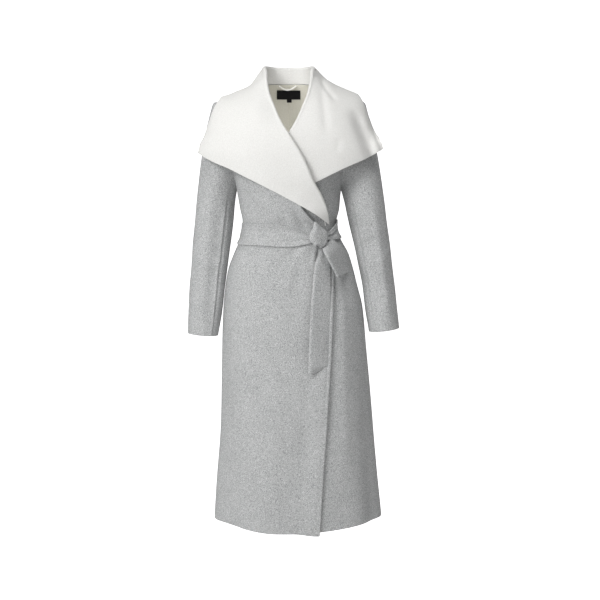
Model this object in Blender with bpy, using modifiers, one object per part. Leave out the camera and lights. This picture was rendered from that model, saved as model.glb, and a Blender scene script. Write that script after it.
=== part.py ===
"""Long wrap coat of double-faced wool, worn and filled out with no wearer.

Metres, +Z up. The origin is at the nape: on the centre plane, half way from
chest to back, level with the back neck seam. The front faces -Y and the
wearer's left is +X. In the tables "out" is the distance from the centre plane
on a piece's own side, negative where the piece laps over the centre.
"""

import math

import bpy
import numpy as np

# Cloth and seams
CLOTH = 0.0025  # thickness of the double-faced wool
SEAM = 0.0003  # gap between two sewn pieces
SECTION_POWER = 2.3  # superellipse power of the body's sections

# Levels
HEM_Z = -1.183
UNDERARM_Z = -0.287
CHEST_Z = -0.160  # the body starts to close towards the shoulders here
NECK_POINT_OUT = 0.078
NECK_POINT_Z = -0.008
SHOULDER_Z = -0.050
LAPEL_TIP_Z = -0.3755

WRAP_LIFT = 0.0055  # the right front lies this far above the left front
WRAP_LAPEL_LIFT = 0.0100  # and this much more above the left lapel


def table(columns, *rows):
    """A dictionary of one array for each named column."""
    return dict(zip(columns, np.array(rows, dtype=float).T))


TORSO = table(
    ("z", "right", "left", "front", "back"),
    (-1.183, 0.2055, 0.2550, 0.165, 0.155),
    (-1.060, 0.1975, 0.2425, 0.158, 0.150),
    (-0.900, 0.1865, 0.2285, 0.150, 0.145),
    (-0.720, 0.1825, 0.2110, 0.140, 0.138),
    (-0.600, 0.1775, 0.1990, 0.132, 0.134),
    (-0.540, 0.1718, 0.1845, 0.126, 0.130),
    (-0.495, 0.1635, 0.1732, 0.119, 0.122),
    (-0.455, 0.1490, 0.1602, 0.112, 0.112),
    (-0.410, 0.1305, 0.1372, 0.105, 0.098),
    (-0.372, 0.1248, 0.1277, 0.104, 0.095),
    (-0.335, 0.1315, 0.1355, 0.110, 0.098),
    (-0.287, 0.1395, 0.1395, 0.120, 0.106),
    (-0.220, 0.1530, 0.1530, 0.127, 0.114),
    (-0.150, 0.1780, 0.1780, 0.122, 0.116),
    (-0.090, 0.1980, 0.1980, 0.112, 0.110),
    (0.000, 0.2050, 0.2050, 0.100, 0.100),
)

# Where the side seams lie round the body, in degrees from the centre front
SIDE_SEAM = table(
    ("z", "right", "left"),
    (-1.183, 92.0, 84.0),
    (-0.450, 92.0, 84.0),
    (-0.287, 90.0, 90.0),
)

SHOULDER_SEAM = table(
    ("out", "y", "z"),
    (0.078, 0.010, -0.008),
    (0.100, 0.009, -0.0165),
    (0.130, 0.007, -0.0265),
    (0.160, 0.004, -0.0365),
    (0.190, 0.000, -0.0500),
    (0.210, 0.000, -0.0700),
)

BACK_NECK = table(
    ("out", "y", "z"),
    (0.000, 0.0652, 0.000),
    (0.012, 0.0650, 0.000),
    (0.031, 0.0620, 0.000),
    (0.058, 0.045, -0.001),
    (0.072, 0.024, -0.004),
    (0.078, 0.010, -0.008),
)

ARMHOLE = table(
    ("z", "out"),
    (-0.287, 0.1395),
    (-0.260, 0.1410),
    (-0.220, 0.1425),
    (-0.180, 0.1445),
    (-0.150, 0.1480),
    (-0.120, 0.1550),
    (-0.090, 0.1660),
    (-0.070, 0.1770),
    (-0.050, 0.1900),
)

# The free edge of each front, then the seam to its lapel above LAPEL_TIP_Z
FRONT_EDGE = table(
    ("z", "out"),
    (-1.183, -0.0797),
    (-1.050, -0.0874),
    (-0.888, -0.0983),
    (-0.711, -0.1080),
    (-0.597, -0.1125),
    (-0.514, -0.1150),
    (-0.440, -0.1120),
    (-0.400, -0.1010),
    (-0.3755, -0.0900),
    (-0.329, -0.0790),
    (-0.303, -0.0700),
    (-0.262, -0.0500),
    (-0.213, -0.0328),
    (-0.179, -0.0172),
    (-0.138, 0.0070),
    (-0.111, 0.0255),
    (-0.0815, 0.0435),
    (-0.060, 0.0570),
    (-0.034, 0.0695),
    (-0.008, 0.0780),
)

# Skirt folds: where they start, and how deep they are at the hem
SKIRT_FOLDS = table(
    ("angle", "width", "depth", "top"),
    (-68.0, 11.0, 0.006, -0.56),
    (-40.0, 10.0, -0.005, -0.62),
    (-12.0, 12.0, 0.004, -0.70),
    (58.0, 10.0, -0.006, -0.60),
    (104.0, 12.0, -0.007, -0.58),
    (128.0, 11.0, 0.009, -0.50),
    (152.0, 10.0, -0.008, -0.56),
    (180.0, 11.0, 0.008, -0.52),
    (-152.0, 10.0, -0.007, -0.58),
    (-126.0, 12.0, 0.008, -0.50),
    (-100.0, 11.0, -0.006, -0.62),
)

HEM_RISE = {"right": 0.013, "left": 0.0120}  # at the side seams, over the centre front

SLEEVES = {
    "right": table(
        ("z", "outer", "inner", "middle_y", "half_depth"),
        (-0.671, 0.2728, 0.1905, -0.027, 0.0455),
        (-0.622, 0.2717, 0.1823, -0.022, 0.0460),
        (-0.553, 0.2684, 0.1738, -0.014, 0.0480),
        (-0.484, 0.2634, 0.1653, -0.007, 0.0500),
        (-0.416, 0.2584, 0.1553, -0.003, 0.0525),
        (-0.340, 0.2510, 0.1470, -0.002, 0.0540),
    ),
    "left": table(
        ("z", "outer", "inner", "middle_y", "half_depth"),
        (-0.659, 0.2970, 0.2148, -0.027, 0.0455),
        (-0.605, 0.2916, 0.2062, -0.022, 0.0460),
        (-0.536, 0.2840, 0.1972, -0.014, 0.0480),
        (-0.467, 0.2766, 0.1837, -0.007, 0.0500),
        (-0.409, 0.2694, 0.1700, -0.003, 0.0525),
        (-0.340, 0.2603, 0.1540, -0.002, 0.0540),
    ),
}

# Angles round a sleeve, from the shoulder point (0) by the front (90) to the
# underarm (180); the sleeve's own seams are at SLEEVE_SEAM
SLEEVE_SEAM = 129.0
SLEEVE_ANGLES = (0, 2, 20, 29, 38, 54, 70, 86, 102, 118, 127, 129, 131, 140, 160, 180)
SLEEVE_CAP_SHARES = (0, 0.012, 0.06, 0.14, 0.25, 0.40, 0.58, 0.79, 1)
SLEEVE_CAP_BULGE = (0.38, 1.0)  # how far the cap keeps its direction at the armhole and at the arm
SLEEVE_CAP_FULLER = {"right": (0.0055, 0, 0.0015), "left": (0.0065, 0, 0.0025)}  # out and up, over the shoulder
SLEEVE_CAP_FULL = 0.06  # share of the cap at which it is fullest
SLEEVE_CUFF_RISE = {"right": 0.08, "left": 0.12}  # rise of the cuff for each metre outwards

# The collar, along its seam: at 0 on the centre back, 1 at the neck point and
# 2 at the lapel's tip. The stand rises from the seam to the roll; the outer
# edge is given by its out and its angle over the shoulder, 0 on top, negative
# behind, and past 90 another EDGE_DROP down the front for each degree.
COLLAR = table(
    ("seam", "stand_out", "stand_y", "stand_up", "edge_out", "edge_over"),
    (0.00, 0.0000, -0.004, 0.044, 0.0000, -77.0),
    (0.40, 0.0000, -0.005, 0.044, 0.0550, -76.0),
    (0.75, -0.0070, -0.008, 0.045, 0.1120, -67.0),
    (0.95, -0.0150, -0.008, 0.047, 0.1590, -39.0),
    (1.00, -0.0175, -0.006, 0.047, 0.1715, -16.0),
    (1.025, -0.0175, -0.005, 0.047, 0.1778, 4.0),
    (1.07, -0.0135, -0.003, 0.038, 0.1857, 24.0),
    (1.14, -0.0080, -0.004, 0.026, 0.1970, 38.0),
    (1.20, -0.0080, -0.003, 0.016, 0.2175, 62.0),
    (1.28, -0.0085, -0.001, 0.008, 0.2395, 103.5),
    (1.3537, -0.0078, 0.000, 0.0045, 0.2000, 115.4),
    (1.4653, -0.0078, 0.000, 0.0035, 0.1400, 130.0),
    (1.5578, -0.0078, 0.000, 0.0035, 0.0800, 145.0),
    (1.6912, -0.0078, 0.001, 0.0035, 0.0100, 163.0),
    (1.8027, -0.0078, 0.002, 0.0035, -0.0480, 179.0),
    (1.8735, -0.0078, 0.004, 0.0035, -0.0750, 187.3),
    (2.00, -0.0055, 0.008, 0.0030, -0.0962, 197.5),
)
CORNER_SEAM = 1.28
EDGE_DROP = 0.002
ROLL_SHARES = (0.0, 0.45, 1.0)
ROLL_ANGLES = (36, 72, 108, 144, 180)
FALL_SHARES = (0.06, 0.14, 0.23, 0.34, 0.47, 0.61, 0.75, 0.88, 1.0)
FALL_SETTLES = 0.50  # share of the fall by which it lies on the shoulder
COLLARS = {
    "right": {"roll": 0.0055, "lift": 0.0145, "stand_in": 0.0, "corner_out": 0.0, "raised": 0.0, "raised_below": 2.2},
    "left": {"roll": 0.0055, "lift": 0.0, "stand_in": 0.0, "corner_out": 0.0095, "raised": 5.5, "raised_below": 0.0},
}

# The cloth of the collar as it hangs over shoulders and upper arms
DRAPE = table(
    ("z", "width", "front", "back"),
    (-0.380, 0.1300, 0.1070, 0.110),
    (-0.330, 0.1650, 0.1155, 0.112),
    (-0.280, 0.2100, 0.1235, 0.120),
    (-0.240, 0.2450, 0.1290, 0.125),
    (-0.187, 0.2560, 0.1320, 0.126),
    (-0.150, 0.2420, 0.1300, 0.126),
    (-0.120, 0.2310, 0.1290, 0.124),
    (-0.088, 0.2270, 0.1260, 0.122),
    (0.010, 0.2270, 0.1200, 0.118),
)
DRAPE_TOP = table(
    ("out", "back_y", "front_y", "z"),
    (0.000, 0.0782, 0.000, 0.0060),
    (0.012, 0.0780, 0.000, 0.0060),
    (0.031, 0.0750, 0.000, 0.0060),
    (0.058, 0.0570, 0.006, 0.0045),
    (0.078, 0.0120, 0.012, -0.0005),
    (0.100, 0.008, 0.008, -0.0085),
    (0.130, 0.007, 0.007, -0.0190),
    (0.160, 0.005, 0.005, -0.0285),
    (0.185, 0.002, 0.002, -0.0380),
    (0.200, 0.000, 0.000, -0.0510),
    (0.2105, 0.000, 0.000, -0.0730),
    (0.226, 0.000, 0.000, -0.1150),
    (0.245, 0.000, 0.000, -0.1500),
)

# How much higher each side of the collar stands off the shoulder near the neck
TOP_RISE = table(
    ("out", "right", "left"),
    (0.000, 0.0000, 0.0000),
    (0.031, 0.0000, 0.0020),
    (0.058, 0.0010, 0.0060),
    (0.078, 0.0050, 0.0145),
    (0.090, 0.0040, 0.0160),
    (0.104, 0.0030, 0.0175),
    (0.131, 0.0030, 0.0150),
    (0.161, 0.0005, 0.0110),
    (0.185, 0.0000, 0.0080),
    (0.198, 0.0000, 0.0050),
    (0.205, 0.0000, 0.0025),
    (0.220, 0.0000, 0.0000),
)

# Soft valleys down the left wing: out at the level of the neck, how much
# further out for each metre down, and the levels between which each one fades
WING_VALLEYS = table(
    ("out", "out_per_drop", "width", "depth", "top", "bottom"),
    (0.190, 0.10, 0.017, 0.012, -0.050, -0.215),
    (0.084, 0.10, 0.010, 0.004, 0.015, -0.150),
)

# The belt, in degrees round the waist from the knot by the wearer's right
KNOT_ANGLE = 34.0
BELT_THICK = 0.004  # two layers of the cloth, pressed
BELT_CLEAR = 0.0020
BELT = table(
    ("round", "top", "bottom"),
    (6.0, -0.4060, -0.4200),
    (13.6, -0.4050, -0.4215),
    (23.5, -0.3900, -0.4270),
    (36.8, -0.3770, -0.4310),
    (65.0, -0.3720, -0.4275),
    (105.0, -0.3745, -0.4275),
    (160.0, -0.3710, -0.4250),
    (215.0, -0.3690, -0.4230),
    (260.0, -0.3660, -0.4190),
    (304.0, -0.3640, -0.4120),
    (330.0, -0.3740, -0.4125),
    (345.0, -0.3915, -0.4155),
    (354.0, -0.3960, -0.4140),
)
KNOT_CENTRE = (0.0800, -0.4030)
KNOT_THICK = 0.022
KNOT = table(
    ("angle", "reach"),
    (0.0, 0.0232),
    (27.0, 0.0236),
    (49.0, 0.0230),
    (77.0, 0.0245),
    (92.0, 0.0310),
    (108.0, 0.0400),
    (118.0, 0.0335),
    (128.0, 0.0275),
    (150.0, 0.0252),
    (166.0, 0.0254),
    (187.0, 0.0272),
    (201.0, 0.0272),
    (229.0, 0.0256),
    (245.0, 0.0280),
    (262.0, 0.0266),
    (277.0, 0.0312),
    (292.0, 0.0306),
    (315.0, 0.0274),
    (332.0, 0.0246),
    (360.0, 0.0232),
)
LONG_TAIL = table(
    ("z", "inner", "outer"),
    (-0.7637, 0.0640, 0.0680),
    (-0.7600, 0.0545, 0.0760),
    (-0.7470, 0.0535, 0.0915),
    (-0.7370, 0.0538, 0.1015),
    (-0.7000, 0.0545, 0.1014),
    (-0.6160, 0.0580, 0.1053),
    (-0.5687, 0.0610, 0.1075),
    (-0.5425, 0.0635, 0.1080),
    (-0.4850, 0.0690, 0.1070),
    (-0.4520, 0.0795, 0.1065),
    (-0.4330, 0.0850, 0.1040),
)
# Two edges of the short tail, from the knot down
SHORT_TAIL = table(
    ("inner_x", "inner_z", "outer_x", "outer_z"),
    (0.0855, -0.4300, 0.1120, -0.4120),
    (0.0905, -0.4410, 0.1225, -0.4190),
    (0.0998, -0.4590, 0.1399, -0.4357),
    (0.1130, -0.4840, 0.1500, -0.4680),
    (0.1259, -0.5086, 0.1596, -0.5008),
)
TAIL_THICK = 0.0035
LONG_TAIL_TILT = 0.014  # how far their edges nearer the centre stand out
SHORT_TAIL_TILT = 0.024

# Small pieces inside the back neck: edges by x and z
LABEL = {"x": (-0.034, 0.031), "z": (-0.0142, -0.0378), "thickness": 0.0008}
SIZE_TAB = {"x": (-0.0063, 0.0068), "z": (-0.0384, -0.0462), "thickness": 0.0006}
LABEL_CLEAR = 0.0012
HANGER_LOOP = {"x": (-0.0285, 0.0205), "top": -0.0020, "sag": 0.0085, "radius": 0.0011}

SIGN = {"right": -1.0, "left": 1.0}


def smooth(at, xs, ys):
    """Cubic through the rows (xs, ys) with no overshoot, level at both ends' values beyond them."""
    at = np.clip(np.asarray(at, dtype=float), xs[0], xs[-1])
    step = np.diff(xs)
    rate = np.diff(ys) / step
    slope = np.empty_like(ys)
    slope[0], slope[-1] = rate[0], rate[-1]
    product = rate[:-1] * rate[1:]
    total = rate[:-1] + rate[1:]
    slope[1:-1] = np.where(product > 0, 2 * product / np.where(total == 0, 1, total), 0.0)
    i = np.clip(np.searchsorted(xs, at, side="right") - 1, 0, len(xs) - 2)
    t = (at - xs[i]) / step[i]
    return (
        ys[i] * (1 + 2 * t) * (1 - t) ** 2
        + slope[i] * step[i] * t * (1 - t) ** 2
        + ys[i + 1] * t**2 * (3 - 2 * t)
        + slope[i + 1] * step[i] * t**2 * (t - 1)
    )


def ease(value, low, high):
    """0 at low, 1 at high, level at both; low may be the greater."""
    t = np.clip((np.asarray(value, dtype=float) - low) / (high - low), 0.0, 1.0)
    return t * t * (3 - 2 * t)


def half_width(z, left_side):
    """Half width of the body at level z, on the side that left_side says."""
    return np.where(
        left_side,
        smooth(z, TORSO["z"], TORSO["left"]),
        smooth(z, TORSO["z"], TORSO["right"]),
    )


def signed_power(value, power):
    return np.sign(value) * np.abs(value) ** power


def body_angle(x, z):
    """Angle round the front half of the body, in degrees, of the point at x."""
    share = np.clip(x / half_width(z, x > 0), -1.0, 1.0)
    return np.degrees(np.arcsin(signed_power(share, SECTION_POWER / 2)))


def shoulder_closing(x, z, back):
    """Level and depth of the shoulder line over x, and how far the section at z has closed to it."""
    out = np.abs(x)
    top_y = smooth(out, SHOULDER_SEAM["out"], SHOULDER_SEAM["y"])
    top_z = smooth(out, SHOULDER_SEAM["out"], SHOULDER_SEAM["z"])
    in_neck = back & (out < NECK_POINT_OUT)
    top_y = np.where(in_neck, smooth(out, BACK_NECK["out"], BACK_NECK["y"]), top_y)
    top_z = np.where(in_neck, smooth(out, BACK_NECK["out"], BACK_NECK["z"]), top_z)
    rise = np.clip((z - CHEST_Z) / (top_z - CHEST_Z), 0.0, 1.0)
    roundness = np.where(back, 1 - 0.5 * ease(out, 0.025, NECK_POINT_OUT), 0.5)
    return top_y, (1 - rise**2) ** roundness


def skirt_fold(angle, z):
    """Depth of the skirt's folds: rounded ridges and troughs that grow down to the hem."""
    depth = np.zeros(np.broadcast(angle, z).shape)
    for middle, width, at_hem, top in zip(*SKIRT_FOLDS.values()):
        apart = (angle - middle + 180) % 360 - 180
        depth += at_hem * np.exp(-((apart / width) ** 2)) * ease(z, top, HEM_Z)
    return depth


def hem_rise(angle):
    """How much the hem rises towards the side seams."""
    turned = np.abs((angle + 180) % 360 - 180)
    high = np.where(((angle + 180) % 360 - 180) > 0, HEM_RISE["left"], HEM_RISE["right"])
    return high * ease(turned, 0, 60) * (1 - 0.6 * ease(turned, 95, 175))


def body_point(angle, z, lift=0.0):
    """Point of the body's outer face: a superellipse across, closed at the shoulders, lifted outwards."""
    radians = np.radians(angle)
    sine = signed_power(np.sin(radians), 2 / SECTION_POWER)
    cosine = signed_power(np.cos(radians), 2 / SECTION_POWER)
    back = cosine < 0
    side = half_width(z, sine > 0)
    depth = np.where(
        back,
        smooth(z, TORSO["z"], TORSO["back"]),
        smooth(z, TORSO["z"], TORSO["front"]),
    )
    out_x, out_y = sine / side, -cosine / depth
    length = np.hypot(out_x, out_y)
    away = lift + skirt_fold(angle, z)
    x = side * sine + out_x / length * away
    y = -depth * cosine + out_y / length * away
    top_y, open_share = shoulder_closing(x, z, back)
    y = top_y + (y - top_y) * open_share
    return np.stack(np.broadcast_arrays(x, y, z), axis=-1)


def armhole_levels():
    """Levels of a panel's rows above the underarm: those of the sleeve's angles, from the underarm up."""
    middle, half = (UNDERARM_Z + SHOULDER_Z) / 2, (SHOULDER_Z - UNDERARM_Z) / 2
    return middle + half * np.cos(np.radians(np.array(SLEEVE_ANGLES[::-1])))


SKIRT_LEVELS = np.array(
    (-1.183, -1.10, -0.99, -0.88, -0.77, -0.67, -0.60, -0.545, -0.50, -0.465)
    + (-0.432, -0.40, -0.3755, -0.347, -0.322, -0.297)
)


def panel_grid(side, columns, edge, lift, back):
    """Rows from hem to shoulder of a front or back panel's outer face.

    columns are shares of the way from the panel's centre edge (0) to its side
    seam (1); edge gives the centre edge's out at a level, and lift the lift at
    x and level.
    """
    sign = SIGN[side]
    shares = np.array(columns)
    rows = []
    gap = np.degrees(SEAM / 2 / 0.15)
    for z in np.append(SKIRT_LEVELS, UNDERARM_Z):
        seam = smooth(z, SIDE_SEAM["z"], SIDE_SEAM[side])
        start = body_angle(np.array(sign * edge(z)), z) * sign
        if back:
            start, seam = 180 - start, seam + gap
        else:
            seam = seam - gap
        angles = sign * (start + (seam - start) * shares)
        row = body_point(angles, z, lift(half_width(z, sign > 0) * np.sin(np.radians(angles)), z))
        row[:, 2] += hem_rise(angles) * ease(z, -0.95, HEM_Z)
        rows.append(row)
    base = rows[-1]
    spread = (base[:, 0] - base[0, 0]) / (base[-1, 0] - base[0, 0])
    neck_z = 0.0 if back else NECK_POINT_Z
    for z in armhole_levels()[1:]:
        rise = min(1.0, max(0.0, (z - CHEST_Z) / (SHOULDER_Z - CHEST_Z)))
        level = z if rise == 0 else CHEST_Z + (neck_z - CHEST_Z) * rise
        x_in = sign * edge(level)
        x_out = sign * smooth(z, ARMHOLE["z"], ARMHOLE["out"])
        x = x_in + (x_out - x_in) * spread
        if z > CHEST_Z:
            out = np.abs(x) if back else np.maximum(sign * x, 0)
            top = smooth(out, SHOULDER_SEAM["out"], SHOULDER_SEAM["z"])
            if back:
                neck = smooth(out, BACK_NECK["out"], BACK_NECK["z"])
                top = np.where(out < NECK_POINT_OUT, neck, top)
                even = 1 - math.sqrt(1 - rise**2)  # even steps up the steep back neck
                rise = rise + (even - rise) * (1 - ease(out, 0.025, NECK_POINT_OUT))
            level = CHEST_Z + (top - CHEST_Z) * rise
        angle = body_angle(x, level)
        angle = 180 - angle if back else angle
        row = body_point(angle, level + 0 * x, lift(x, level))
        row[:, 1] += SEAM / 2 if back else -SEAM / 2
        rows.append(row)
    return np.array(rows)


def quad_faces(rows, columns):
    return [
        (r * columns + c, r * columns + c + 1, (r + 1) * columns + c + 1, (r + 1) * columns + c)
        for r in range(rows - 1)
        for c in range(columns - 1)
    ]


def sheet(name, grid, material, thickness, offset, flip=False):
    """A cloth piece: the open surface through grid, given its thickness by Solidify."""
    if flip:
        grid = grid[:, ::-1]
    rows, columns = grid.shape[:2]
    mesh = bpy.data.meshes.new(name)
    mesh.from_pydata(grid.reshape(-1, 3).tolist(), [], quad_faces(rows, columns))
    mesh.shade_smooth()
    piece = bpy.data.objects.new(name, mesh)
    piece.data.materials.append(material)
    wall = piece.modifiers.new("wall", "SOLIDIFY")
    wall.thickness = thickness
    wall.offset = offset
    COAT.objects.link(piece)
    return piece


def cloth_material(name, colour, roughness):
    material = bpy.data.materials.new(name)
    material.use_nodes = True
    shader = material.node_tree.nodes["Principled BSDF"]
    shader.inputs["Base Color"].default_value = (*colour, 1.0)
    shader.inputs["Roughness"].default_value = roughness
    return material


def clear_scene():
    for item in list(bpy.data.objects):
        bpy.data.objects.remove(item)


clear_scene()
COAT = bpy.data.collections.new("wrap_coat")
bpy.context.scene.collection.children.link(COAT)
GREY_WOOL = cloth_material("grey wool", (0.42, 0.43, 0.43), 0.9)
IVORY_WOOL = cloth_material("ivory wool", (0.86, 0.86, 0.83), 0.9)

NECK_SHARE = math.degrees(math.asin((NECK_POINT_OUT / 0.19) ** (SECTION_POWER / 2))) / 90
BACK_COLUMNS = (0, 0.012, 0.08, 0.14, 0.185, 0.212, NECK_SHARE, 0.35, 0.48, 0.61, 0.75, 0.88, 0.972, 1)
FRONT_COLUMNS = (0, 0.012, 0.08, 0.17, 0.27, 0.37, 0.47, 0.57, 0.67, 0.77, 0.88, 0.972, 1)
NECK_COLUMN = BACK_COLUMNS.index(NECK_SHARE)


def back_edge(z):
    return SEAM / 2 + 0 * z


def front_edge(z):
    return smooth(z, FRONT_EDGE["z"], FRONT_EDGE["out"])


def no_lift(x, z):
    return 0 * x


def wrap_lift(x, z):
    """How far the right front lies off the body, to clear the left front and its lapel below it."""
    angle = body_angle(x, z)
    under_edge = body_angle(front_edge(z), z)  # the left front's edge, below the right front
    over_front = ease(angle, np.maximum(-88, under_edge - 35), under_edge - 5)
    lapel = ease(z, -0.40, -0.345) * ease(z, -0.07, -0.125) * ease(angle, -82, -48)
    return WRAP_LIFT * over_front + WRAP_LAPEL_LIFT * lapel


def unit(vectors):
    return vectors / np.linalg.norm(vectors, axis=-1, keepdims=True)


def arm_ring(side, angles, z):
    """Ellipse of the sleeve at level z: angle 0 outside, 90 in front, 180 towards the body."""
    rows = SLEEVES[side]
    outer, inner, middle_y, half_depth = (
        smooth(z, rows["z"], rows[name]) for name in ("outer", "inner", "middle_y", "half_depth")
    )
    radians = np.radians(angles)
    x = SIGN[side] * ((outer + inner) / 2 + (outer - inner) / 2 * np.cos(radians))
    return np.stack([x, middle_y - half_depth * np.sin(radians), z + 0 * x], axis=-1)


def sleeve_grid(side, panels):
    """Rows from armhole to cuff: a Hermite cap from the armhole to the arm, then rings down the arm."""
    rows_up = len(SKIRT_LEVELS)
    front, back = (panels[name + side][rows_up:][::-1] for name in ("front_", "back_"))
    halves = [(half[:, -1], unit(half[:, -1] - half[:, -2])) for half in (front, back)]
    points = np.concatenate([halves[0][0], halves[1][0][-2:0:-1]])
    ways = np.concatenate([halves[0][1], halves[1][1][-2:0:-1]])
    for both in (0, len(front) - 1):
        points[both] = (halves[0][0][both] + halves[1][0][both]) / 2
        ways[both] = unit(halves[0][1][both] + halves[1][1][both])
    angles = np.array(SLEEVE_ANGLES + tuple(360 - a for a in SLEEVE_ANGLES[-2:0:-1]), dtype=float)
    points = points + ways * SEAM
    levels = SLEEVES[side]["z"]
    arm_top = arm_ring(side, angles, levels[-1])
    arm_way = unit(arm_ring(side, angles, levels[-1] - 0.01) - arm_top)
    reach = np.linalg.norm(arm_top - points, axis=1, keepdims=True)
    at_armhole, at_arm = SLEEVE_CAP_BULGE
    over_top = np.clip(np.cos(np.radians(angles)), 0, 1)[:, None] ** 2 * (SIGN[side], 0, 1) * SLEEVE_CAP_FULLER[side]
    rows = []
    for t in SLEEVE_CAP_SHARES:
        rows.append(
            points * (1 + 2 * t) * (1 - t) ** 2
            + ways * reach * at_armhole * t * (1 - t) ** 2
            + arm_top * t**2 * (3 - 2 * t)
            + arm_way * reach * at_arm * t**2 * (t - 1)
            + over_top * t / SLEEVE_CAP_FULL * math.exp(1 - t / SLEEVE_CAP_FULL)
        )
    for z in np.linspace(levels[-1], levels[0], 8)[1:]:
        ring = arm_ring(side, angles, z)
        outwards = SIGN[side] * (ring[:, 0] - ring[:, 0].mean())
        ring[:, 2] += SLEEVE_CUFF_RISE[side] * outwards * ease(z, levels[-1], levels[0])
        rows.append(ring)
    return np.array(rows), angles


def narrowed(grid):
    """The grid with its first and last columns drawn in, for the gap of a seam."""
    grid = grid.copy()
    gap = (SEAM * (1 + ease(np.linspace(0, 1, len(grid)), 0.3, 0.0)))[:, None]
    grid[:, 0] += unit(grid[:, 1] - grid[:, 0]) * gap
    grid[:, -1] += unit(grid[:, -2] - grid[:, -1]) * gap
    return grid


def collar_top(side, out):
    """Level of the collar where it passes over the shoulder."""
    return smooth(out, DRAPE_TOP["out"], DRAPE_TOP["z"]) + smooth(out, TOP_RISE["out"], TOP_RISE[side])


def drape_point(side, out, over):
    """Point of the hanging collar: out from the centre, and over the shoulder by an angle.

    Above the chest the section through the shoulder is a quarter ellipse from
    the shoulder's top (0) to the chest (90) or the back (-90); below, it drops.
    """
    far = np.abs(out)
    top_z = collar_top(side, far)
    steep = np.radians(np.clip(np.abs(over), 0, 90))
    below = np.maximum(np.abs(over) - 90, 0) * EDGE_DROP
    z = CHEST_Z + (top_z - CHEST_Z) * np.cos(steep) - below
    lift = COLLARS[side]["lift"] * ease(z, -0.42, -0.33) * ease(out, 0.20, 0.06)
    own_width = smooth(z, DRAPE["z"], DRAPE["width"])
    cross_width = half_width(z, out * SIGN[side] > 0) + 0.006 + lift
    share = np.clip(far / np.where(out > 0, own_width, cross_width), 0, 1)
    across = (1 - share**SECTION_POWER) ** (1 / SECTION_POWER)
    front = smooth(z, DRAPE["z"], DRAPE["front"]) + lift
    depth = np.where(over < 0, smooth(z, DRAPE["z"], DRAPE["back"]), -front)
    top_y = np.where(
        over < 0,
        smooth(far, DRAPE_TOP["out"], DRAPE_TOP["back_y"]),
        smooth(far, DRAPE_TOP["out"], DRAPE_TOP["front_y"]),
    )
    y = top_y + (depth * across - top_y) * np.sin(steep)
    return np.stack([SIGN[side] * out, y, z], axis=-1)


def wing_valleys(points):
    """How far the left wing sinks in its valleys: a rounded trough down each line."""
    x, _, z = points.T
    sink = np.zeros(len(points))
    for out, slant, width, depth, top, bottom in zip(*WING_VALLEYS.values()):
        apart = (x - out + slant * z) / width
        sink += depth * np.exp(-(apart**2)) * ease(z, top, top - 0.05) * ease(z, bottom, bottom + 0.05)
    return sink


def collar_seam(side, panels):
    """The collar's seam points with the way on out of the panels there: back neck, then front edge."""
    back = panels["back_" + side]
    front = panels["front_" + side]
    tip_row = int(np.argmin(np.abs(SKIRT_LEVELS - LAPEL_TIP_Z)))
    edge = np.delete(front[: tip_row - 1 : -1], 1, axis=0)  # without the narrow row at the shoulder
    points = np.concatenate([back[-1, :NECK_COLUMN], edge[:, 0]])
    below = back[-1, :NECK_COLUMN] - back[-2, :NECK_COLUMN]
    beside = edge[:, 0] - edge[:, 1]
    ways = unit(np.concatenate([unit(below), unit(beside)]))
    ways[1:-1] = unit(ways[:-2] + 2 * ways[1:-1] + ways[2:])
    seam = np.concatenate(
        [
            np.abs(back[-1, :NECK_COLUMN, 0]) / NECK_POINT_OUT,
            1 + (NECK_POINT_Z - edge[:, 0, 2]) / (NECK_POINT_Z - LAPEL_TIP_Z),
        ]
    )
    return points, ways, seam


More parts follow.
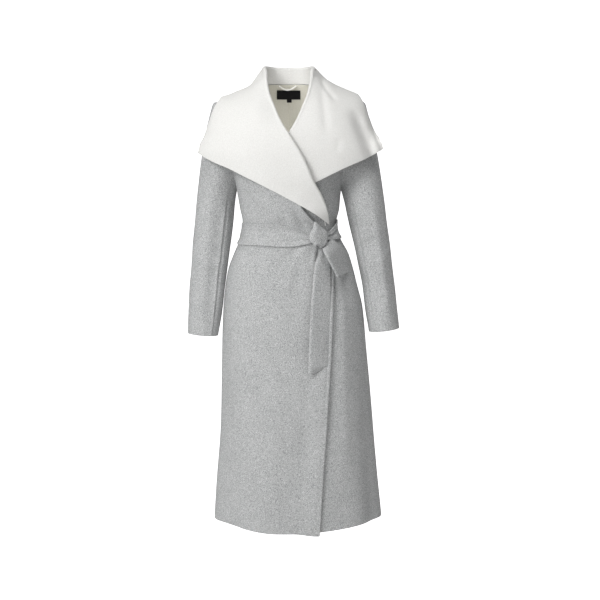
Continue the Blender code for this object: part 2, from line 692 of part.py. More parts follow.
def collar_grid(side, panels):
    """Rows from the seam up the stand, round the roll and down the fall; a column at each seam point."""
    sign = SIGN[side]
    sizes = COLLARS[side]
    points, ways, seam = collar_seam(side, panels)
    along = unit(np.gradient(points, axis=0))
    outward = np.stack([points[:, 0], points[:, 1] * 2, 0 * seam], axis=-1)
    normal = unit(np.cross(ways, along))
    normal *= np.sign(np.sum(normal * (points - (0, 0, -0.25)), axis=1))[:, None]
    start = points - normal * CLOTH / 2
    stand_in = sizes["stand_in"] * ease(seam, 0.9, 1.05) * ease(seam, 1.35, 1.15)
    stand = np.stack(
        [sign * (smooth(seam, COLLAR["seam"], COLLAR["stand_out"]) - stand_in)]
        + [smooth(seam, COLLAR["seam"], COLLAR[name]) for name in ("stand_y", "stand_up")],
        axis=-1,
    )
    up = unit(stand)
    mitre = np.sqrt(np.clip(1 - np.sum(ways * up, axis=1) ** 2, 0, 1))
    start = start + ways * (SEAM + CLOTH / 2 * mitre + 0.0006 * ease(seam, 0.6, 0.95) * ease(seam, 1.3, 1.0))[:, None]
    outward = unit(outward - np.sum(outward * up, axis=1, keepdims=True) * up)
    roll = (sizes["roll"] * (1 - 0.35 * ease(seam, 1.7, 2.0)))[:, None]
    top = start + stand
    rows = [start + (top - up * roll - start) * share for share in ROLL_SHARES]
    centre = top - up * roll + outward * roll
    for angle in np.radians(ROLL_ANGLES):
        rows.append(centre + roll * (up * math.sin(angle) - outward * math.cos(angle)))
    corner = int(np.argmin(np.abs(seam - CORNER_SEAM)))
    edge_seam = COLLAR["seam"].copy()
    edge_seam[edge_seam == CORNER_SEAM] = seam[corner]
    split = int(np.argmin(np.abs(edge_seam - seam[corner])))
    edge = []
    for name in ("edge_out", "edge_over"):
        before = smooth(seam[:corner], edge_seam[: split + 1], COLLAR[name][: split + 1])
        after = smooth(seam[corner:], edge_seam[split:], COLLAR[name][split:])
        edge.append(np.concatenate([before, after]))
    near_corner = ease(edge[0], 0.12, 0.2395)
    edge[0] = edge[0] + sizes["corner_out"] * near_corner * (edge[1] > 0)
    if side == "left":
        narrow = ease(seam, 1.78, 1.95)
        edge = [edge[0] + 0.009 * narrow, edge[1] + 3.0 * narrow]
    edge[1] = edge[1] - sizes["raised"] * ease(edge[1], 80, 103) - sizes["raised_below"] * ease(edge[1], 108, 128)
    last = rows[-1]
    behind = seam < 1.0
    from_out = sign * last[:, 0]
    top_z = collar_top(side, np.abs(from_out))
    level = (last[:, 2] - CHEST_Z) / (top_z - CHEST_Z)
    from_over = np.degrees(np.arccos(np.clip(level, 0, 1))) + np.maximum(-level, 0) * (top_z - CHEST_Z) / EDGE_DROP
    from_over = np.where(behind, -np.maximum(from_over, 0.01), from_over)
    apart = last - drape_point(side, from_out, from_over)
    for share in FALL_SHARES:
        hang = drape_point(
            side, from_out + (edge[0] - from_out) * share, from_over + (edge[1] - from_over) * share
        )
        if side == "left":
            hang[:, 1] += wing_valleys(hang) * ~behind
        rows.append(hang + apart * max(0.0, 1 - share / FALL_SETTLES) ** 2)
    return np.array(rows)


def front_point(x, z, lift):
    """Point in front of the body at x and z, moved out along Y until it is lifted by that much."""
    point = body_point(body_angle(x, z), z)
    raised = body_point(body_angle(x, z), z, 0.001)
    point[..., 1] -= lift * 0.001 / np.abs(raised[..., 1] - point[..., 1])
    return point


def belt_grid():
    """Rows from the belt's lower to its upper edge, columns round the waist from the knot."""
    turned = np.linspace(BELT["round"][0], BELT["round"][-1], 46)
    top, bottom = (smooth(turned, BELT["round"], BELT[name]) for name in ("top", "bottom"))
    angle = (KNOT_ANGLE - turned + 180) % 360 - 180
    rows = []
    for share in (0, 0.5, 1):
        z = bottom + (top - bottom) * share
        x = half_width(z, angle > 0) * signed_power(np.sin(np.radians(angle)), 2 / SECTION_POWER)
        over = np.where(np.abs(angle) < 90, wrap_lift(np.minimum(x, 0.09), z), 0.0)
        over = over * ease(angle, 84, 60)
        rows.append(body_point(angle, z, over + BELT_CLEAR))
    return np.array(rows)


def knot_mesh():
    """A pillow with the knot's outline: rings from the front's middle over the rim to the back's."""
    angles = np.arange(0, 360, 15.0)
    reach = smooth(angles, KNOT["angle"], KNOT["reach"])
    steps = np.radians((-62, -40, -18, 0, 18, 38, 60))
    centre_x, centre_z = KNOT_CENTRE
    points = []
    for step in steps:
        ring = reach * math.cos(step) ** 0.8
        x = centre_x + ring * np.cos(np.radians(angles))
        z = centre_z + ring * np.sin(np.radians(angles))
        lift = WRAP_LIFT + BELT_CLEAR + BELT_THICK - 0.0002 + KNOT_THICK / 2 * (1 + math.sin(step))
        points.append(front_point(x, z, lift))
    for step, first in ((-90, True), (90, False)):
        lift = WRAP_LIFT + BELT_CLEAR + BELT_THICK - 0.0002 + KNOT_THICK / 2 * (1 + math.sin(math.radians(step)))
        pole = front_point(np.array([centre_x]), np.array([centre_z]), lift)
        points.insert(0, pole) if first else points.append(pole)
    count = len(angles)
    faces = []
    for ring in range(len(steps) - 1):
        for k in range(count):
            a, b = 1 + ring * count + k, 1 + ring * count + (k + 1) % count
            faces.append((a, b, b + count, a + count))
    last = 1 + (len(steps) - 1) * count
    for k in range(count):
        faces.append((1 + (k + 1) % count, 1 + k, 0))
        faces.append((last + k, last + (k + 1) % count, last + count))
    return np.concatenate(points), faces


def long_tail_grid():
    lift = WRAP_LIFT + 0.0008
    shares = np.array((0, 0.33, 0.67, 1))
    rows = []
    for z, inner, outer in zip(*LONG_TAIL.values()):
        x = inner + (outer - inner) * shares
        tilted = LONG_TAIL_TILT * (1 - shares) * ease(z, -0.446, -0.500)
        rows.append(front_point(x, z + 0 * x, lift + tilted))
    return np.array(rows)


def short_tail_grid():
    lift = WRAP_LIFT + 0.0015 + TAIL_THICK + 0.001
    shares = np.array((0, 0.33, 0.67, 1))
    down = np.linspace(0, 1, len(SHORT_TAIL["inner_x"]))
    rows = []
    for t, inner_x, inner_z, outer_x, outer_z in list(zip(down, *SHORT_TAIL.values()))[::-1]:
        tilted = SHORT_TAIL_TILT * (1 - shares) * ease(t, 0.05, 0.50)
        x, z = inner_x + (outer_x - inner_x) * shares, inner_z + (outer_z - inner_z) * shares
        rows.append(front_point(x, z, lift + tilted))
    return np.array(rows)


def inside_back(x, z, clear):
    """Point inside the back at x and z, clear of the cloth's inner face."""
    small = 0.002
    here, beside, above = (
        body_point(180 - body_angle(at_x, at_z), at_z)
        for at_x, at_z in ((x, z), (x + small, z), (x, z - small))
    )
    inward = unit(np.cross(beside - here, above - here))
    inward *= -np.sign(inward[..., 1:2])
    return here + inward * (CLOTH + clear)


def inside_grid(sizes):
    x = np.linspace(*sizes["x"], 7)
    return np.array([inside_back(x, level + 0 * x, LABEL_CLEAR) for level in np.linspace(*sizes["z"][::-1], 3)])


def loop_mesh():
    """A round cord sewn in the neck seam at both ends and sagging between them."""
    sizes = HANGER_LOOP
    along = np.linspace(-1, 1, 11)
    middle = (sizes["x"][0] + sizes["x"][1]) / 2
    x = middle + (sizes["x"][1] - sizes["x"][0]) / 2 * along
    z = sizes["top"] - sizes["sag"] * (1 - along**4)
    line = inside_back(x, z, 0.0012 + sizes["radius"])
    way = unit(np.gradient(line, axis=0))
    side_way = unit(np.cross(way, (0.0, 1.0, 0.0)))
    other = np.cross(way, side_way)
    round_angles = np.radians(np.arange(0, 360, 60))
    rings = [
        line + sizes["radius"] * (side_way * math.cos(a) + other * math.sin(a)) for a in round_angles
    ]
    points = np.stack(rings, axis=1)
    count = len(round_angles)
    faces = [
        (r * count + k, r * count + (k + 1) % count, (r + 1) * count + (k + 1) % count, (r + 1) * count + k)
        for r in range(len(along) - 1)
        for k in range(count)
    ]
    faces.append(tuple(range(count))[::-1])
    faces.append(tuple((len(along) - 1) * count + k for k in range(count)))
    return points.reshape(-1, 3), faces


def solid(name, points, faces, material):
    mesh = bpy.data.meshes.new(name)
    mesh.from_pydata(points.tolist(), [], faces)
    mesh.shade_smooth()
    piece = bpy.data.objects.new(name, mesh)
    piece.data.materials.append(material)
    COAT.objects.link(piece)
    return piece


grids = {}
for side in ("right", "left"):
    grids["back_" + side] = panel_grid(side, BACK_COLUMNS, back_edge, no_lift, True)
grids["front_left"] = panel_grid("left", FRONT_COLUMNS, front_edge, no_lift, False)
grids["front_right"] = panel_grid("right", FRONT_COLUMNS, front_edge, wrap_lift, False)
sheet("back_left", grids["back_left"], GREY_WOOL, CLOTH, -1, flip=True)
sheet("back_right", grids["back_right"], GREY_WOOL, CLOTH, -1)
sheet("front_left", grids["front_left"], GREY_WOOL, CLOTH, -1)
sheet("front_right", grids["front_right"], GREY_WOOL, CLOTH, -1, flip=True)
for side in ("right", "left"):
    tube, angles = sleeve_grid(side, grids)
    turn = int(np.argmin(np.abs(angles - SLEEVE_SEAM)))
    back_turn = int(np.argmin(np.abs(angles - 360 + SLEEVE_SEAM)))
    top = np.concatenate([tube[:, back_turn:], tube[:, : turn + 1]], axis=1)
    sheet("sleeve_" + side + "_top", narrowed(top), GREY_WOOL, CLOTH, -1, flip=side == "right")
    under = tube[:, turn : back_turn + 1]
    sheet("sleeve_" + side + "_under", narrowed(under), GREY_WOOL, CLOTH, -1, flip=side == "right")
    sheet("collar_" + side, collar_grid(side, grids), IVORY_WOOL, CLOTH, 0, flip=side == "left")

sheet("belt_band", belt_grid(), GREY_WOOL, BELT_THICK, 1, flip=True)
solid("belt_knot", *knot_mesh(), GREY_WOOL)
sheet("belt_tail_long", long_tail_grid(), GREY_WOOL, TAIL_THICK, 1)
sheet("belt_tail_short", short_tail_grid(), GREY_WOOL, TAIL_THICK, 1)
LABEL_BLACK = cloth_material("label satin", (0.015, 0.015, 0.016), 0.5)
sheet("label", inside_grid(LABEL), LABEL_BLACK, LABEL["thickness"], 1)
sheet("size_tab", inside_grid(SIZE_TAB), LABEL_BLACK, SIZE_TAB["thickness"], 1)
solid("hanger_loop", *loop_mesh(), IVORY_WOOL)
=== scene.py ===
# A long wrap coat in double-faced wool, grey outside and ivory inside, worn and tied with no wearer.
# Metres, +Z up. The front faces -Y and the wearer's left is +X. "out" is the distance from the
# centre on a piece's own side, negative where the piece laps over the centre.
import math

import bpy
import numpy as np
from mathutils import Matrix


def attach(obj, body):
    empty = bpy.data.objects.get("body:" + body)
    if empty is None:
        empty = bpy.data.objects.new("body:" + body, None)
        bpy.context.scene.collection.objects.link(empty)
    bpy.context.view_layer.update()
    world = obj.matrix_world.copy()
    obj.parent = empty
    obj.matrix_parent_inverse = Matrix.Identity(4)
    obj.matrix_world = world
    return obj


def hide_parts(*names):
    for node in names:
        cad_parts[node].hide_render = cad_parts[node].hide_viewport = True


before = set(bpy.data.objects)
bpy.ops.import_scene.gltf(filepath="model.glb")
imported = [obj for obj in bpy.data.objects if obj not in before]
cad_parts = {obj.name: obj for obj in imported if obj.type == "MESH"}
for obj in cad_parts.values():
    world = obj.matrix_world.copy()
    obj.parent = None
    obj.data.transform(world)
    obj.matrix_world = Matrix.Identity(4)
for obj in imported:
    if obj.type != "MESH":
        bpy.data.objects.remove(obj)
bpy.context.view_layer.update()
sideSign = {"right": -1.0, "left": 1.0}
cloth = {"thick": 0.0025, "seamGap": 0.0003, "sectionPower": 2.3, "meanRadius": 0.15}


# A cubic through the given values with no overshoot, held level past both ends
def curve(at, xs, ys):
    xs, ys = np.asarray(xs, float), np.asarray(ys, float)
    at = np.clip(np.asarray(at, float), xs[0], xs[-1])
    step = np.diff(xs)
    rate = np.diff(ys) / step
    slope = np.empty_like(ys)
    slope[0], slope[-1] = rate[0], rate[-1]
    product, total = rate[:-1] * rate[1:], rate[:-1] + rate[1:]
    slope[1:-1] = np.where(product > 0, 2 * product / np.where(total == 0, 1, total), 0.0)
    i = np.clip(np.searchsorted(xs, at, side="right") - 1, 0, len(xs) - 2)
    t = (at - xs[i]) / step[i]
    return (ys[i] * (1 + 2 * t) * (1 - t) ** 2 + slope[i] * step[i] * t * (1 - t) ** 2
            + ys[i + 1] * t**2 * (3 - 2 * t) + slope[i + 1] * step[i] * t**2 * (t - 1))


# The row of a table at the given place: its first row says where the others are given
def row(table, key, at):
    return curve(at, next(iter(table.values())), table[key])


# 0 at low and 1 at high, level at both
def ease(value, low, high):
    t = np.clip((np.asarray(value, float) - low) / (high - low), 0.0, 1.0)
    return t * t * (3 - 2 * t)


# 1 in the middle and near 0 twice the width away
def bell(value, middle, width):
    return np.exp(-(((value - middle) / width) ** 2))


def signedPower(value, power):
    return np.sign(value) * np.abs(value) ** power


def unit(vectors):
    return vectors / np.maximum(np.linalg.norm(vectors, axis=-1, keepdims=True), 1e-12)


# Normal at every point of a grid: the cross product of its two directions, turned towards "outward"
def gridNormals(grid, outward):
    normal = unit(np.cross(np.gradient(grid, axis=1), np.gradient(grid, axis=0)))
    return normal * (1.0 if np.sum(normal * outward) > 0 else -1.0)


# Sets a node's inputs, each to a value or to the output that feeds it
def feed(tree, node, inputs):
    for socket, value in inputs.items():
        if isinstance(value, bpy.types.NodeSocket):
            tree.links.new(value, node.inputs[socket])
        else:
            node.inputs[socket].default_value = value


def addNode(tree, kind, inputs={}, **settings):
    node = tree.nodes.new(kind)
    for key, value in settings.items():
        setattr(node, key, value)
    feed(tree, node, inputs)
    return node.outputs


def addMath(tree, operation, *inputs, **settings):
    return addNode(tree, "ShaderNodeMath", dict(enumerate(inputs)), operation=operation, **settings)[0]


def addMix(tree, share, dark, light):
    return addNode(tree, "ShaderNodeMix", {"Factor": share, 6: dark, 7: light}, data_type="RGBA")[2]


def addRange(tree, source, limits):
    inputs = dict(zip(("From Min", "From Max", "To Min", "To Max"), limits))
    return addNode(tree, "ShaderNodeMapRange", {"Value": source, **inputs}, clamp=True)[0]


def addBump(tree, height, strength, distance):
    return addNode(tree, "ShaderNodeBump", {"Height": height, "Strength": strength, "Distance": distance})[0]


def newMaterial(name):
    material = bpy.data.materials.new(name)
    material.use_nodes = True
    return material, material.node_tree, material.node_tree.nodes["Principled BSDF"]


# The wool's fibres: noise in two sizes and a slow cloudiness; the ranges give what they are mapped to
fibres = {
    "stretch": (1.0, 1.0, 0.62), "finer": 3.1, "fineShare": 0.45,
    "coarse": {"Detail": 3.0, "Roughness": 0.62, "Distortion": 0.35},
    "fine": {"Detail": 2.0, "Roughness": 0.5},
    "cloud": {"Scale": 14.0, "Detail": 3.0, "Roughness": 0.55},
    "colourRange": (0.52, 0.94, 0.0, 1.0), "driftRange": (0.3, 0.7, -0.025, 0.025),
    "roughRange": (0.4, 1.0, 0.98, 0.86),
    "height": 0.0006, "specular": 0.18, "sheenRoughness": 0.55, "sheenTint": (0.95, 0.96, 0.97, 1),
}


# Brushed wool as a group: fleck = coarse + fine * share picks a colour from dark to light
def buildWoolGroup():
    group = bpy.data.node_groups.new("brushedWool", "ShaderNodeTree")
    for name, kind in (("Dark", "Color"), ("Light", "Color"), ("Fleck Size", "Float"), ("Nap", "Float")):
        group.interface.new_socket(name, in_out="INPUT", socket_type="NodeSocket" + kind)
    for name, kind in (("Color", "Color"), ("Height", "Float"), ("Rough", "Float")):
        group.interface.new_socket(name, in_out="OUTPUT", socket_type="NodeSocket" + kind)
    given = addNode(group, "NodeGroupInput")
    place = addNode(group, "ShaderNodeTexCoord")["Object"]
    perMetre = addMath(group, "DIVIDE", 1.0, given["Fleck Size"])
    finer = addMath(group, "MULTIPLY", perMetre, fibres["finer"])
    stretched = addNode(group, "ShaderNodeMapping", {"Vector": place, "Scale": fibres["stretch"]})[0]
    noises = (("coarse", {"Vector": stretched, "Scale": perMetre}), ("fine", {"Vector": place, "Scale": finer}),
              ("cloud", {"Vector": place}))
    coarse, fine, cloud = (addNode(group, "ShaderNodeTexNoise", {**fibres[key], **inputs})["Fac"]
                           for key, inputs in noises)
    fleck = addMath(group, "MULTIPLY_ADD", fine, fibres["fineShare"], coarse)
    tone, drift = addRange(group, fleck, fibres["colourRange"]), addRange(group, cloud, fibres["driftRange"])
    colour = addMix(group, addMath(group, "ADD", tone, drift, use_clamp=True), given["Dark"], given["Light"])
    height = addMath(group, "MULTIPLY", fleck, given["Nap"])
    rough = addRange(group, fleck, fibres["roughRange"])
    addNode(group, "NodeGroupOutput", {"Color": colour, "Height": height, "Rough": rough})
    return group


woolGroup = buildWoolGroup()
# Each wool: its darkest and lightest fibres, then fleck size, nap, bump and sheen
wools = {
    "grey": ("grey heather wool", (0.132, 0.137, 0.139), (0.735, 0.742, 0.74), 0.0014, 1.0, 0.55, 0.12),
    "ivory": ("ivory wool", (0.665, 0.66, 0.638), (0.79, 0.786, 0.765), 0.0017, 1.0, 0.35, 0.08),
    # The inside wool is the ivory made darker and warmer: painted shade and painted warm bounced light inside
    # the coat
    "inside": ("ivory wool, painted shade inside", (0.64, 0.622, 0.545), (0.76, 0.742, 0.66), 0.0017, 1.0, 0.35, 0.08),
    # The cord is the ivory made paler: painted light, where the loop stands off the back and catches the light
    "cord": ("ivory cord, painted light", (0.9, 0.895, 0.85), (0.96, 0.955, 0.92), 0.001, 0.4, 0.15, 0.1),
}
wools["belt"] = ("grey heather wool, belt", *wools["grey"][1:])


def woolMaterial(name, dark, light, fleckSize, nap, bump, sheen):
    material, tree, shader = newMaterial(name)
    inputs = {"Dark": (*dark, 1), "Light": (*light, 1), "Fleck Size": fleckSize, "Nap": nap}
    body = addNode(tree, "ShaderNodeGroup", inputs, node_tree=woolGroup)
    feed(tree, shader, {
        "Base Color": body["Color"], "Roughness": body["Rough"],
        "Normal": addBump(tree, body["Height"], bump, fibres["height"]),
        "Specular IOR Level": fibres["specular"], "Sheen Weight": sheen,
        "Sheen Roughness": fibres["sheenRoughness"], "Sheen Tint": fibres["sheenTint"],
    })
    return material


satin = {
    "black": (0.0035, 0.0035, 0.004), "crestSheen": 1.9, "ridges": {"Scale": 900.0, "Distortion": 0.4},
    "bump": (0.3, 0.0002), "roughness": 0.65, "specular": 0.15,
}


# Ribbed satin: waves up Object Z, whose crests are painted lighter as a painted sheen
def satinMaterial(name, colour):
    material, tree, shader = newMaterial(name)
    place = addNode(tree, "ShaderNodeTexCoord")["Object"]
    rows = addNode(tree, "ShaderNodeTexWave", {"Vector": place, **satin["ridges"]}, bands_direction="Z")["Fac"]
    # The crests' colour is the black made lighter: painted sheen
    sheenCrest = (*(c * satin["crestSheen"] for c in colour), 1)
    feed(tree, shader, {
        "Base Color": addMix(tree, rows, (*colour, 1), sheenCrest), "Normal": addBump(tree, rows, *satin["bump"]),
        "Roughness": satin["roughness"], "Specular IOR Level": satin["specular"],
    })
    return material


looks = {key: woolMaterial(*wool) for key, wool in wools.items()}
looks["satin"] = satinMaterial("black label satin", satin["black"])
print("materials done")


def gridQuads(rows, columns):
    index = np.arange(rows * columns).reshape(rows, columns)
    corners = np.stack([index[:-1, :-1], index[:-1, 1:], index[1:, 1:], index[1:, :-1]], axis=-1)
    return corners.reshape(-1, 4).tolist()


def addMesh(name, points, faces, materials):
    mesh = bpy.data.meshes.new(name)
    mesh.from_pydata(np.asarray(points).reshape(-1, 3).tolist(), [], faces)
    mesh.shade_smooth()
    for material in materials:
        mesh.materials.append(looks[material])
    added = bpy.data.objects.new(name, mesh)
    bpy.context.scene.collection.objects.link(added)
    return added


# A finished piece takes the place of its node
def settle(piece, node):
    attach(piece, "root")
    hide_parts(node)


softEdge = {"segments": 2, "angle": 55}


# A cloth piece: the open surface through the grid, given its wall by Solidify on the side that
# "offset" says; the face on the normal's side takes the first material and the other the second
def clothPiece(node, grid, faces, thick, offset, outward, edge=0.0006, stuff="_cloth"):
    du, dv = np.gradient(grid, axis=1), np.gradient(grid, axis=0)
    if np.sum(np.cross(du, dv) * outward) < 0:
        grid = grid[:, ::-1]
    piece = addMesh(node + stuff, grid, gridQuads(*grid.shape[:2]), faces)
    wall = piece.modifiers.new("wall", "SOLIDIFY")
    wall.thickness, wall.offset, wall.material_offset = thick, offset, 1
    soft = piece.modifiers.new("soft edge", "BEVEL")
    soft.width, soft.segments = edge, softEdge["segments"]
    soft.limit_method, soft.angle_limit = "ANGLE", math.radians(softEdge["angle"])
    settle(piece, node)


markFade = (-0.12, 0.22)  # shares of a mark's length over which its ends fade


# Where points lie along a bowed line, as a share of its length, and how far to its right
def besideLine(x, z, x1, z1, x2, z2, bow):
    length, dx, dz = math.hypot(x2 - x1, z2 - z1), x2 - x1, z2 - z1
    along = ((x - x1) * dx + (z - z1) * dz) / length**2
    return along, ((x - x1) * dz - (z - z1) * dx) / length - bow * 4 * along * (1 - along)


# Depth of soft marks in the cloth: a rounded ridge (or trough, if negative) along each line from
# (x1, z1) to (x2, z2), bowed sideways, that fades at both ends
def marksDepth(x, z, marks):
    total = np.zeros(np.broadcast(x, z).shape)
    for *line, width, depth in marks:
        along, across = besideLine(x, z, *line)
        total = total + depth * bell(across, 0, width) * ease(along, *markFade) * ease(1 - along, *markFade)
    return total


# Slow unevenness of hanging cloth: crossed sines of unlike lengths
def drift(x, z, size, phase):
    return size * (np.sin(x * 37 + z * 9 + phase) * np.sin(z * 13 + x * 6 + phase * 1.7)
                   + 0.5 * np.sin(x * 71 - z * 21 + phase * 2.3))


# The body's form: half widths to the wearer's right and left, and depths, by level
torso = {
    "z": (-1.183, -1.06, -0.9, -0.72, -0.6, -0.54, -0.495, -0.455,
          -0.41, -0.372, -0.335, -0.287, -0.22, -0.15, -0.09, 0.0),
    "right": (0.2055, 0.1975, 0.1865, 0.1825, 0.1775, 0.1718, 0.1635, 0.149,
              0.1305, 0.1248, 0.1315, 0.1395, 0.153, 0.178, 0.198, 0.205),
    "left": (0.255, 0.2425, 0.2285, 0.211, 0.199, 0.1845, 0.1732, 0.1602,
             0.1372, 0.1277, 0.1355, 0.1395, 0.153, 0.178, 0.198, 0.205),
    "front": (0.165, 0.158, 0.15, 0.14, 0.132, 0.126, 0.119, 0.112,
              0.105, 0.104, 0.11, 0.12, 0.127, 0.122, 0.112, 0.1),
    "back": (0.155, 0.15, 0.145, 0.138, 0.134, 0.13, 0.122, 0.112,
             0.098, 0.095, 0.098, 0.106, 0.114, 0.116, 0.11, 0.1),
}
levels = {"hem": -1.183, "underarm": -0.287, "chest": -0.16, "shoulder": -0.05, "lapelTip": -0.3755}
neckPoint = {"out": 0.078, "z": -0.008}
sideSeam = {"z": (-1.183, -0.45, -0.287), "right": (92.0, 92.0, 90.0), "left": (84.0, 84.0, 90.0)}
shoulderSeam = {
    "out": (0.078, 0.1, 0.13, 0.16, 0.19, 0.21),
    "y": (0.01, 0.009, 0.007, 0.004, 0.0, 0.0),
    "z": (-0.008, -0.0165, -0.0265, -0.0365, -0.05, -0.07),
}
backNeck = {
    "out": (0.0, 0.012, 0.031, 0.058, 0.072, 0.078),
    "y": (0.0652, 0.065, 0.062, 0.045, 0.024, 0.01),
    "z": (0.0, 0.0, 0.0, -0.001, -0.004, -0.008),
}
armhole = {
    "z": (-0.287, -0.26, -0.22, -0.18, -0.15, -0.12, -0.09, -0.07, -0.05),
    "out": (0.1395, 0.141, 0.1425, 0.1445, 0.148, 0.155, 0.166, 0.177, 0.19),
}
frontEdge = {
    "z": (-1.183, -1.05, -0.888, -0.711, -0.597, -0.514, -0.44, -0.4, -0.3755, -0.329,
          -0.303, -0.262, -0.213, -0.179, -0.138, -0.111, -0.0815, -0.06, -0.034, -0.008),
    "out": (-0.0797, -0.0874, -0.0983, -0.108, -0.1125, -0.115, -0.112, -0.101, -0.09, -0.079,
            -0.07, -0.05, -0.0328, -0.0172, 0.007, 0.0255, 0.0435, 0.057, 0.0695, 0.078),
}
# Skirt folds: degrees round from the centre front, width, depth at the hem, level where they start
skirtFolds = (
    (-68, 11, 0.006, -0.56), (-40, 10, -0.005, -0.62), (-12, 12, 0.004, -0.7), (63, 11, -0.008, -0.53),
    (104, 12, -0.007, -0.58), (128, 11, 0.009, -0.5), (152, 10, -0.008, -0.56), (180, 11, 0.008, -0.52),
    (-152, 10, -0.007, -0.58), (-126, 12, 0.008, -0.5), (-100, 11, -0.006, -0.62),
)
# The hem's rise from the centre front to full height, by degrees round, and its fall to the back
hem = {"right": 0.013, "left": 0.012, "full": 60, "fallShare": 0.6, "fall": (95, 175), "from": -0.95}
# Shoulder rounding: powers at the sides and the centre back, and where across the neck they blend
rounding = {"power": 0.5, "from": 0.025}


def halfWidth(z, leftSide):
    return np.where(leftSide, row(torso, "left", z), row(torso, "right", z))


# Degrees round the front half of the body of the point at x
def bodyAngle(x, z):
    share = np.clip(x / halfWidth(z, x > 0), -1.0, 1.0)
    return np.degrees(np.arcsin(signedPower(share, cloth["sectionPower"] / 2)))


# Each fold is a bell across its width that grows down to the hem
def skirtDepth(angle, z):
    total = np.zeros(np.broadcast(angle, z).shape)
    for middle, width, atHem, top in skirtFolds:
        apart = (angle - middle + 180) % 360 - 180
        total = total + atHem * bell(apart, 0, width) * ease(z, top, levels["hem"])
    return total


# How much the hem rises from the centre front to the side seams
def hemRise(angle):
    turned = (angle + 180) % 360 - 180
    high = np.where(turned > 0, hem["left"], hem["right"]) * ease(np.abs(turned), 0, hem["full"])
    return high * (1 - hem["fallShare"] * ease(np.abs(turned), *hem["fall"]))


def towardsNeckPoint(out):
    return ease(out, rounding["from"], neckPoint["out"])


# A superellipse across the body, moved out along its own normal, that closes over the chest to the
# shoulder line
def bodyPoint(angle, z, lift=0.0):
    power = cloth["sectionPower"]
    sine = signedPower(np.sin(np.radians(angle)), 2 / power)
    cosine = signedPower(np.cos(np.radians(angle)), 2 / power)
    back = cosine < 0
    side = halfWidth(z, sine > 0)
    depth = np.where(back, row(torso, "back", z), row(torso, "front", z))
    outX, outY = sine / side, -cosine / depth
    length = np.hypot(outX, outY)
    away = lift + skirtDepth(angle, z)
    x = side * sine + outX / length * away
    y = -depth * cosine + outY / length * away
    out = np.abs(x)
    inNeck = back & (out < neckPoint["out"])
    topY, topZ = (np.where(inNeck, row(backNeck, key, out),
                           row(shoulderSeam, key, out)) for key in ("y", "z"))
    rise = np.clip((z - levels["chest"]) / (topZ - levels["chest"]), 0.0, 1.0)
    roundness = np.where(back, 1 - rounding["power"] * towardsNeckPoint(out), rounding["power"])
    y = topY + (y - topY) * (1 - rise**2) ** roundness
    return np.stack(np.broadcast_arrays(x, y, z), axis=-1)


def frontEdgeOut(z):
    return row(frontEdge, "out", z)


def backEdgeOut(z):
    return cloth["seamGap"] / 2 + 0 * z


# Lift over the left front, whose edge is cleared within a few degrees, and over its lapel
wrap = {
    "overFront": 0.0055, "clears": (35, 5), "furthest": -88,
    "overLapel": 0.01, "lapelFoot": (-0.4, -0.345), "lapelTop": (-0.07, -0.125), "lapelAcross": (-82, -48),
}


# How far the right front lies off the body, over the left front and its lapel
def wrapLift(x, z):
    angle = bodyAngle(x, z)
    underEdge = bodyAngle(frontEdgeOut(z), z)
    start, full = wrap["clears"]
    onFront = ease(angle, np.maximum(wrap["furthest"], underEdge - start), underEdge - full)
    onLapel = ease(z, *wrap["lapelFoot"]) * ease(z, *wrap["lapelTop"]) * ease(angle, *wrap["lapelAcross"])
    return wrap["overFront"] * onFront + wrap["overLapel"] * onLapel


# How fine the grids are; a panel's columns crowd towards its centre edge by these powers
fineness = {
    "panelColumns": 110, "frontCrowd": 1.3, "backCrowd": 1.12, "skirtRows": 200, "armholeStep": 3.0,
    "sleeveCapRows": 30, "sleeveRows": 110,
}
armAngles = np.arange(0, 180.01, fineness["armholeStep"])
seamTurn = math.degrees(cloth["seamGap"] / 2 / cloth["meanRadius"])  # half a seam gap as degrees round the body


# Rows from hem to underarm: shares of the way from the centre edge to the side seam
def skirtRows(side, edge, lift, back):
    sign = sideSign[side]
    crowd = fineness["backCrowd" if back else "frontCrowd"]
    shares = np.linspace(0, 1, fineness["panelColumns"]) ** crowd
    z = np.linspace(levels["hem"], levels["underarm"], fineness["skirtRows"])[:, None]
    seam = row(sideSeam, side, z)
    start = bodyAngle(sign * edge(z), z) * sign
    start, seam = (180 - start, seam + seamTurn) if back else (start, seam - seamTurn)
    angle = sign * (start + (seam - start) * shares)
    x = halfWidth(z, np.array(sign > 0)) * np.sin(np.radians(angle))
    skirt = bodyPoint(angle, z + 0 * angle, lift(x, z) if lift else 0.0)
    skirt[..., 2] += hemRise(angle) * ease(z, hem["from"], levels["hem"])
    return skirt


# Rows from underarm to shoulder: shares of the way from the centre edge to the armhole, each row's
# level closing in on the shoulder line
def chestRows(side, edge, lift, back, base):
    sign, chest = sideSign[side], levels["chest"]
    spread = (base[:, 0] - base[0, 0]) / (base[-1, 0] - base[0, 0])
    middle, half = (levels["underarm"] + levels["shoulder"]) / 2, (levels["shoulder"] - levels["underarm"]) / 2
    z = (middle + half * np.cos(np.radians(armAngles[::-1])))[1:, None]
    rise = np.clip((z - chest) / (levels["shoulder"] - chest), 0, 1)
    level = np.where(rise == 0, z, chest + ((0.0 if back else neckPoint["z"]) - chest) * rise)
    xIn, xOut = sign * edge(level), sign * row(armhole, "out", z)
    x = xIn + (xOut - xIn) * spread
    out = np.abs(x) if back else np.maximum(sign * x, 0)
    top = row(shoulderSeam, "z", out)
    if back:
        top = np.where(out < neckPoint["out"], row(backNeck, "z", out), top)
        rise = rise + (1 - np.sqrt(1 - rise**2) - rise) * (1 - towardsNeckPoint(out))
    level = np.where(z > chest, chest + (top - chest) * rise, z + 0 * x)
    angle = bodyAngle(x, level)
    rows = bodyPoint(180 - angle if back else angle, level, lift(x, level) if lift else 0.0)
    rows[..., 1] += cloth["seamGap"] / 2 * (1 if back else -1)
    return rows


